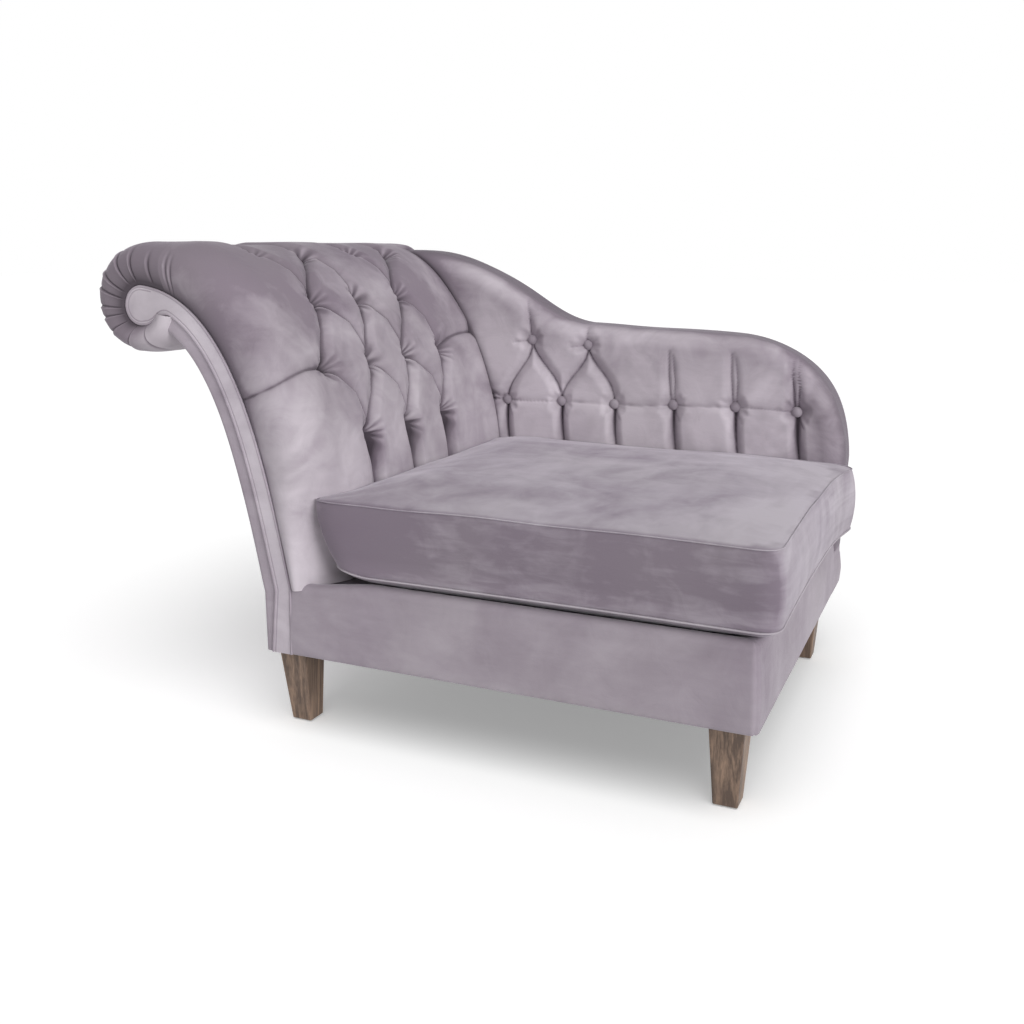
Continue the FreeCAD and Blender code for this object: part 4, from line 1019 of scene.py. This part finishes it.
def box_cushion():
    """A boxed cushion: a swollen box with rounded corners that rests on the base's soft edge."""
    low, high = Vector((-144.5, -424.0, 308.5)), Vector((645.0, 316.0, 434.5))
    size = high - low
    waist, border, belly = 6, 9, 13
    bm = bmesh.new()
    bmesh.ops.create_cube(bm, size=1.0)
    for axis, cuts in ((0, 59), (1, 55), (2, 9)):
        edges = [e for e in bm.edges if abs(e.verts[0].co[axis] - e.verts[1].co[axis]) > 1e-6]
        bmesh.ops.subdivide_edges(bm, edges=edges, cuts=cuts, use_grid_fill=True)
    crease = bm.edges.layers.float.new("crease_edge")
    seams = [
        e
        for e in bm.edges
        if abs(abs(e.verts[0].co.z) - 0.5) < 1e-5
        and abs(abs(e.verts[1].co.z) - 0.5) < 1e-5
        and all(max(abs(v.co.x), abs(v.co.y)) > 0.5 - 1e-5 for v in e.verts)
    ]
    for edge in seams:
        edge[crease] = 0.4
    rim = set()
    for vertex in bm.verts:
        x, y, z = vertex.co
        if max(abs(x), abs(y)) > 0.5 - 5e-6 and abs(z) > 0.5 - 1e-5:
            rim.add(vertex.index)
        px, py = x * size.x, y * size.y
        corner = 56.0 if x < 0 or y > 0 else 36.0
        limit_x, limit_y = size.x / 2 - corner, size.y / 2 - corner
        if abs(px) > limit_x and abs(py) > limit_y:
            dx, dy = abs(px) - limit_x, abs(py) - limit_y
            far = max(dx, dy)
            length = math.hypot(dx, dy)
            px = math.copysign(limit_x + dx / length * far, px)
            py = math.copysign(limit_y + dy / length * far, py)
        # Its sides draw in between the corners, and the front and foot-end borders bulge
        px -= math.copysign(waist * (1 - (2 * y) ** 2) * (2 * abs(x)) ** 6, px)
        py -= math.copysign(waist * (1 - (2 * x) ** 2) * (2 * abs(y)) ** 6, py)
        full = border * (1 - (2 * z) ** 2)
        px += full * max(2 * x, 0) ** 12
        py -= full * max(-2 * y, 0) ** 12
        pz = z * size.z
        inner_x, inner_y = 1 - (2 * abs(x)) ** 2.6, 1 - (2 * abs(y)) ** 2.6
        crown = (max(inner_x, 0) * max(inner_y, 0)) ** 0.42
        head_end = hump((x + 0.44) / 0.14)
        if z > 0.5 - 1e-5:
            pz += (14 + 12 * head_end) * crown
        elif z < -0.5 + 1e-5:
            depth = min((0.5 - abs(x)) * size.x, (0.5 - abs(y)) * size.y)
            # The belly hangs over the inner edge of the base
            rounded = math.sqrt(1 - (1 - min(depth, 16) / 16) ** 2)
            pz -= belly * rounded + 24 * min(max(depth - 40, 0) / 50, 1)
        vertex.co = Vector((px, py, pz)) / 1000 + (low + high) / 2000
    mesh = as_mesh(bm, "cushion_velvet")
    piece = placed(mesh.name, mesh)
    rest = np.array([v.co[:] for v in mesh.vertices])
    blow_up(piece, sorted(rim), rest)
    points = np.array([v.co[:] for v in mesh.vertices]) * 1000
    # Its front corner fills the hollow beside the head's rounded padding
    beside = unit((-60 - points[:, 0]) / 85) * hump((points[:, 1] + 425) / 48)
    height = unit((points[:, 2] - 300) / 130)
    points[:, 0] += (16 * (1 - height) - 52 * height**0.8) * beside
    points[:, 2] += (14 * (1 - height) ** 2 - 5 * height**2) * beside
    # Its corner at the foot end, by the arm, is fuller, and its top is softly uneven
    near = np.exp(-((points[:, 0] - 640) ** 2 + (points[:, 1] - 290) ** 2) / (2 * 70.0**2))
    points[:, 0] += 14 * near
    points[:, 2] -= 7 * near * unit((points[:, 2] - 400) / 40)
    upper = unit((points[:, 2] - 380) / 50)
    points[:, 2] += soft_waves(points[:, 0], points[:, 1], 1.8, 260, 31) * upper
    behind = np.minimum(points[:, 1] - front_y, foot_x - points[:, 0])
    resting = np.where(behind > 0, edge_roll(behind) + 1.0, 282)
    points[:, 2] = np.maximum(points[:, 2], np.maximum(resting, base_top + 0.9))
    mesh.vertices.foreach_set("co", (points / 1000).astype(np.float32).ravel())
    # Painted shade on the front border, weaker near its bottom, and painted light on the top towards the
    # foot end
    seam_height = 436
    painted_shade_front_border = unit((front_y + 22 - points[:, 1]) / 16) * (points[:, 2] < seam_height)
    painted_light_and_shade = -(0.54 - 0.2 * unit((345 - points[:, 2]) / 35)) * painted_shade_front_border
    painted_light_and_shade += 0.46 * unit((points[:, 0] - 350) / 280) * (points[:, 2] > seam_height)
    keep_painted_light_and_shade(piece, painted_light_and_shade)
    mesh.shade_smooth()
    smooth = piece.modifiers.new("soft", "SUBSURF")
    smooth.levels = smooth.render_levels = 1
    finished(piece, "velvet_cushion")
    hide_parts("cushion_cover", "cushion_core")
    ring = [points[i] for i in sorted(rim)]
    middle = (low + high) / 2
    for name, top, drop, radius, finish in (
        ("cushion_top_seam", True, 0.2, 1.1, "velvet_cushion"),
        # The bottom seam's lighter velvet is a painted highlight
        ("cushion_bottom_seam", False, 0.6, 1.6, "velvet_welt"),
    ):
        loop = [p for p in ring if (p[2] > middle.z) == top]
        loop.sort(key=lambda p: math.atan2(p[1] - middle.y, p[0] - middle.x))
        piping(name, [(x, y, z - drop) for x, y, z in loop], radius, finish, cyclic=True)


def blow_up(piece, pinned, rest):
    """Cloth simulation: the panels swell between their seams, and no point may move too far."""
    piece.vertex_groups.new(name="seams").add(pinned, 1.0, "REPLACE")
    cloth_modifier = piece.modifiers.new("swell", "CLOTH")
    settings = cloth_modifier.settings
    settings.quality = 5
    settings.mass = 0.4
    settings.tension_stiffness = settings.compression_stiffness = 30
    settings.shear_stiffness = 20
    settings.bending_stiffness = 3
    settings.use_pressure = True
    settings.uniform_pressure_force = 4.0
    settings.effector_weights.gravity = 0.0
    settings.vertex_group_mass = "seams"
    scene = bpy.context.scene
    for step in range(1, 21):
        scene.frame_set(step)
    graph = bpy.context.evaluated_depsgraph_get()
    made = piece.evaluated_get(graph).to_mesh()
    moved = np.array([v.co[:] for v in made.vertices])
    piece.evaluated_get(graph).to_mesh_clear()
    piece.modifiers.remove(cloth_modifier)
    scene.frame_set(1)
    shift = moved - rest
    far = np.linalg.norm(shift, axis=1)
    most = 0.011
    shift *= np.where(far > most, most / np.maximum(far, 1e-9), 1)[:, None]
    piece.data.vertices.foreach_set("co", (rest + shift).astype(np.float32).ravel())
    piece.data.update()


# Legs


def leg(node):
    """A tapered square leg with eased edges, from its glide to the base."""
    low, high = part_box(node)
    foot, inset_x, inset_y = 0.0405, 0.014, 0.020
    foot_low_x = low.x + inset_x if "head" in node else high.x - inset_x - foot
    foot_low_y = low.y + inset_y if "front" in node else high.y - inset_y - foot
    bm = bmesh.new()
    bmesh.ops.create_cube(bm, size=1.0)
    for vertex in bm.verts:
        x_side, y_side = vertex.co.x > 0, vertex.co.y > 0
        if vertex.co.z > 0:
            vertex.co = Vector((high.x if x_side else low.x, high.y if y_side else low.y, high.z))
        else:
            vertex.co = Vector((foot_low_x + foot * x_side, foot_low_y + foot * y_side, low.z))
    shape = {"profile": 0.5, "affect": "EDGES", "material": -1}
    upright = [e for e in bm.edges if abs(e.verts[0].co.z - e.verts[1].co.z) > 0.05]
    bmesh.ops.bevel(bm, geom=upright, offset=0.0028, segments=3, **shape)
    lower = [e for e in bm.edges if all(v.co.z < low.z + 0.001 for v in e.verts)]
    bmesh.ops.bevel(bm, geom=lower, offset=0.0015, segments=2, **shape)
    mesh = as_mesh(bm, node + "_oak")
    piece = finished(placed(mesh.name, mesh), "leg_oak")
    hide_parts(node)


# Pieces

head_padding()
facing(-1)
facing(1)
outside_head()
arm_padding()
outside_back()
base_panels()
stretched_sheet("deck_sheet", "deck_cloth", "lining")
stretched_sheet("dust_sheet", "dust_cover", "dust_cloth")
box_cushion()
for name in ("leg_front_head", "leg_front_foot", "leg_back_head", "leg_back_foot"):
    leg(name)

inner_finishes = {
    "frame_timber": (
        "arm_board arm_posts back_rail foot_rail front_rail head_rail centre_rail leg_blocks "
        "scroll_panel_back scroll_panel_front scroll_cross_rails scroll_pole button_toggles"
    ),
    "hessian": "head_hessian seat_hessian button_twines",
    "webbing": "head_webbing webbing_across webbing_along",
    "foam": "deck_pad",
    "steel": "leg_bolts tee_nuts",
    "nylon": "leg_glides",
}
for finish, names in inner_finishes.items():
    for name in names.split():
        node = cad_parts[name]
        node.data.materials.clear()
        node.data.materials.append(finishes[finish])


# Studio


def lamp(name, towards, width, strength, lit):
    """A broad sun, so that the ground is lit evenly out to the horizon, for the object or the ground."""
    data = bpy.data.lights.new(name, "SUN")
    data.energy, data.angle = strength, width
    light = placed(name, data)
    light.rotation_euler = (-Vector(towards)).to_track_quat("-Z", "Y").to_euler()
    light.light_linking.receiver_collection = lit


def seen_directly(tree):
    """1 for what the camera sees itself or in a reflection, and 0 for light on its way elsewhere."""
    path = add(tree, "LightPath")
    return math_node(tree, "MAXIMUM", path.outputs["Is Camera Ray"], path.outputs["Is Glossy Ray"])


bm = bmesh.new()
bmesh.ops.create_grid(bm, x_segments=1, y_segments=1, size=30.0)
ground = placed("studio_ground", as_mesh(bm, "studio_ground"))
paper, tree, shader = new_material(
    "studio_paper", Base_Color=(0.85, 0.85, 0.85, 1), Roughness=1.0, Specular_IOR_Level=0.0
)
# Some white of its own, which lights nothing else, so that the ground is white and keeps its shadow
glow = add(tree, "Emission")
give(tree, glow, Strength=math_node(tree, "MULTIPLY", seen_directly(tree), 0.3))
both = add(tree, "AddShader")
tree.links.new(shader.outputs[0], both.inputs[0])
tree.links.new(glow.outputs[0], both.inputs[1])
give(tree, tree.nodes["Material Output"], Surface=both.outputs[0])
ground.data.materials.append(paper)

# The ground has a sun of its own, and the other suns light only the object
on_ground, on_object = bpy.data.collections.new("on_ground"), bpy.data.collections.new("on_object")
for group, state in ((on_ground, "INCLUDE"), (on_object, "EXCLUDE")):
    group.objects.link(ground)
    group.collection_objects[0].light_linking.link_state = state

world = bpy.data.worlds.new("studio")
bpy.context.scene.world = world
world.use_nodes = True
tree = world.node_tree
background = tree.nodes["Background"]
background.inputs["Color"].default_value = (1, 1, 1, 1)
# The background looks white, and lights the object at a lower level
level = total(tree, math_node(tree, "MULTIPLY", seen_directly(tree), 0.68), 0.32)
give(tree, background, Strength=level)

lamp("key", (1.0, -0.55, 0.45), 0.5, 2.2, on_object)
lamp("front", (0.0, -1.0, 0.25), 0.9, 0.6, on_object)
lamp("top", (-0.1, 0.1, 1.0), 0.9, 0.6, on_object)
lamp("ground_top", (0.3, -0.5, 1.0), 0.85, 2.05, on_ground)

camera_data = bpy.data.cameras.new("camera")
camera_data.sensor_width = 36.0
camera_data.lens = 38.6
camera_data.shift_x = -0.0057
camera_data.shift_y = -0.1387
camera = placed("camera", camera_data)
camera.location = (0.926, -1.989, 0.866)
camera.rotation_euler = (math.radians(90 - 6.2), 0, math.radians(24))
bpy.context.scene.camera = camera
bpy.context.scene.view_settings.view_transform = "Standard"
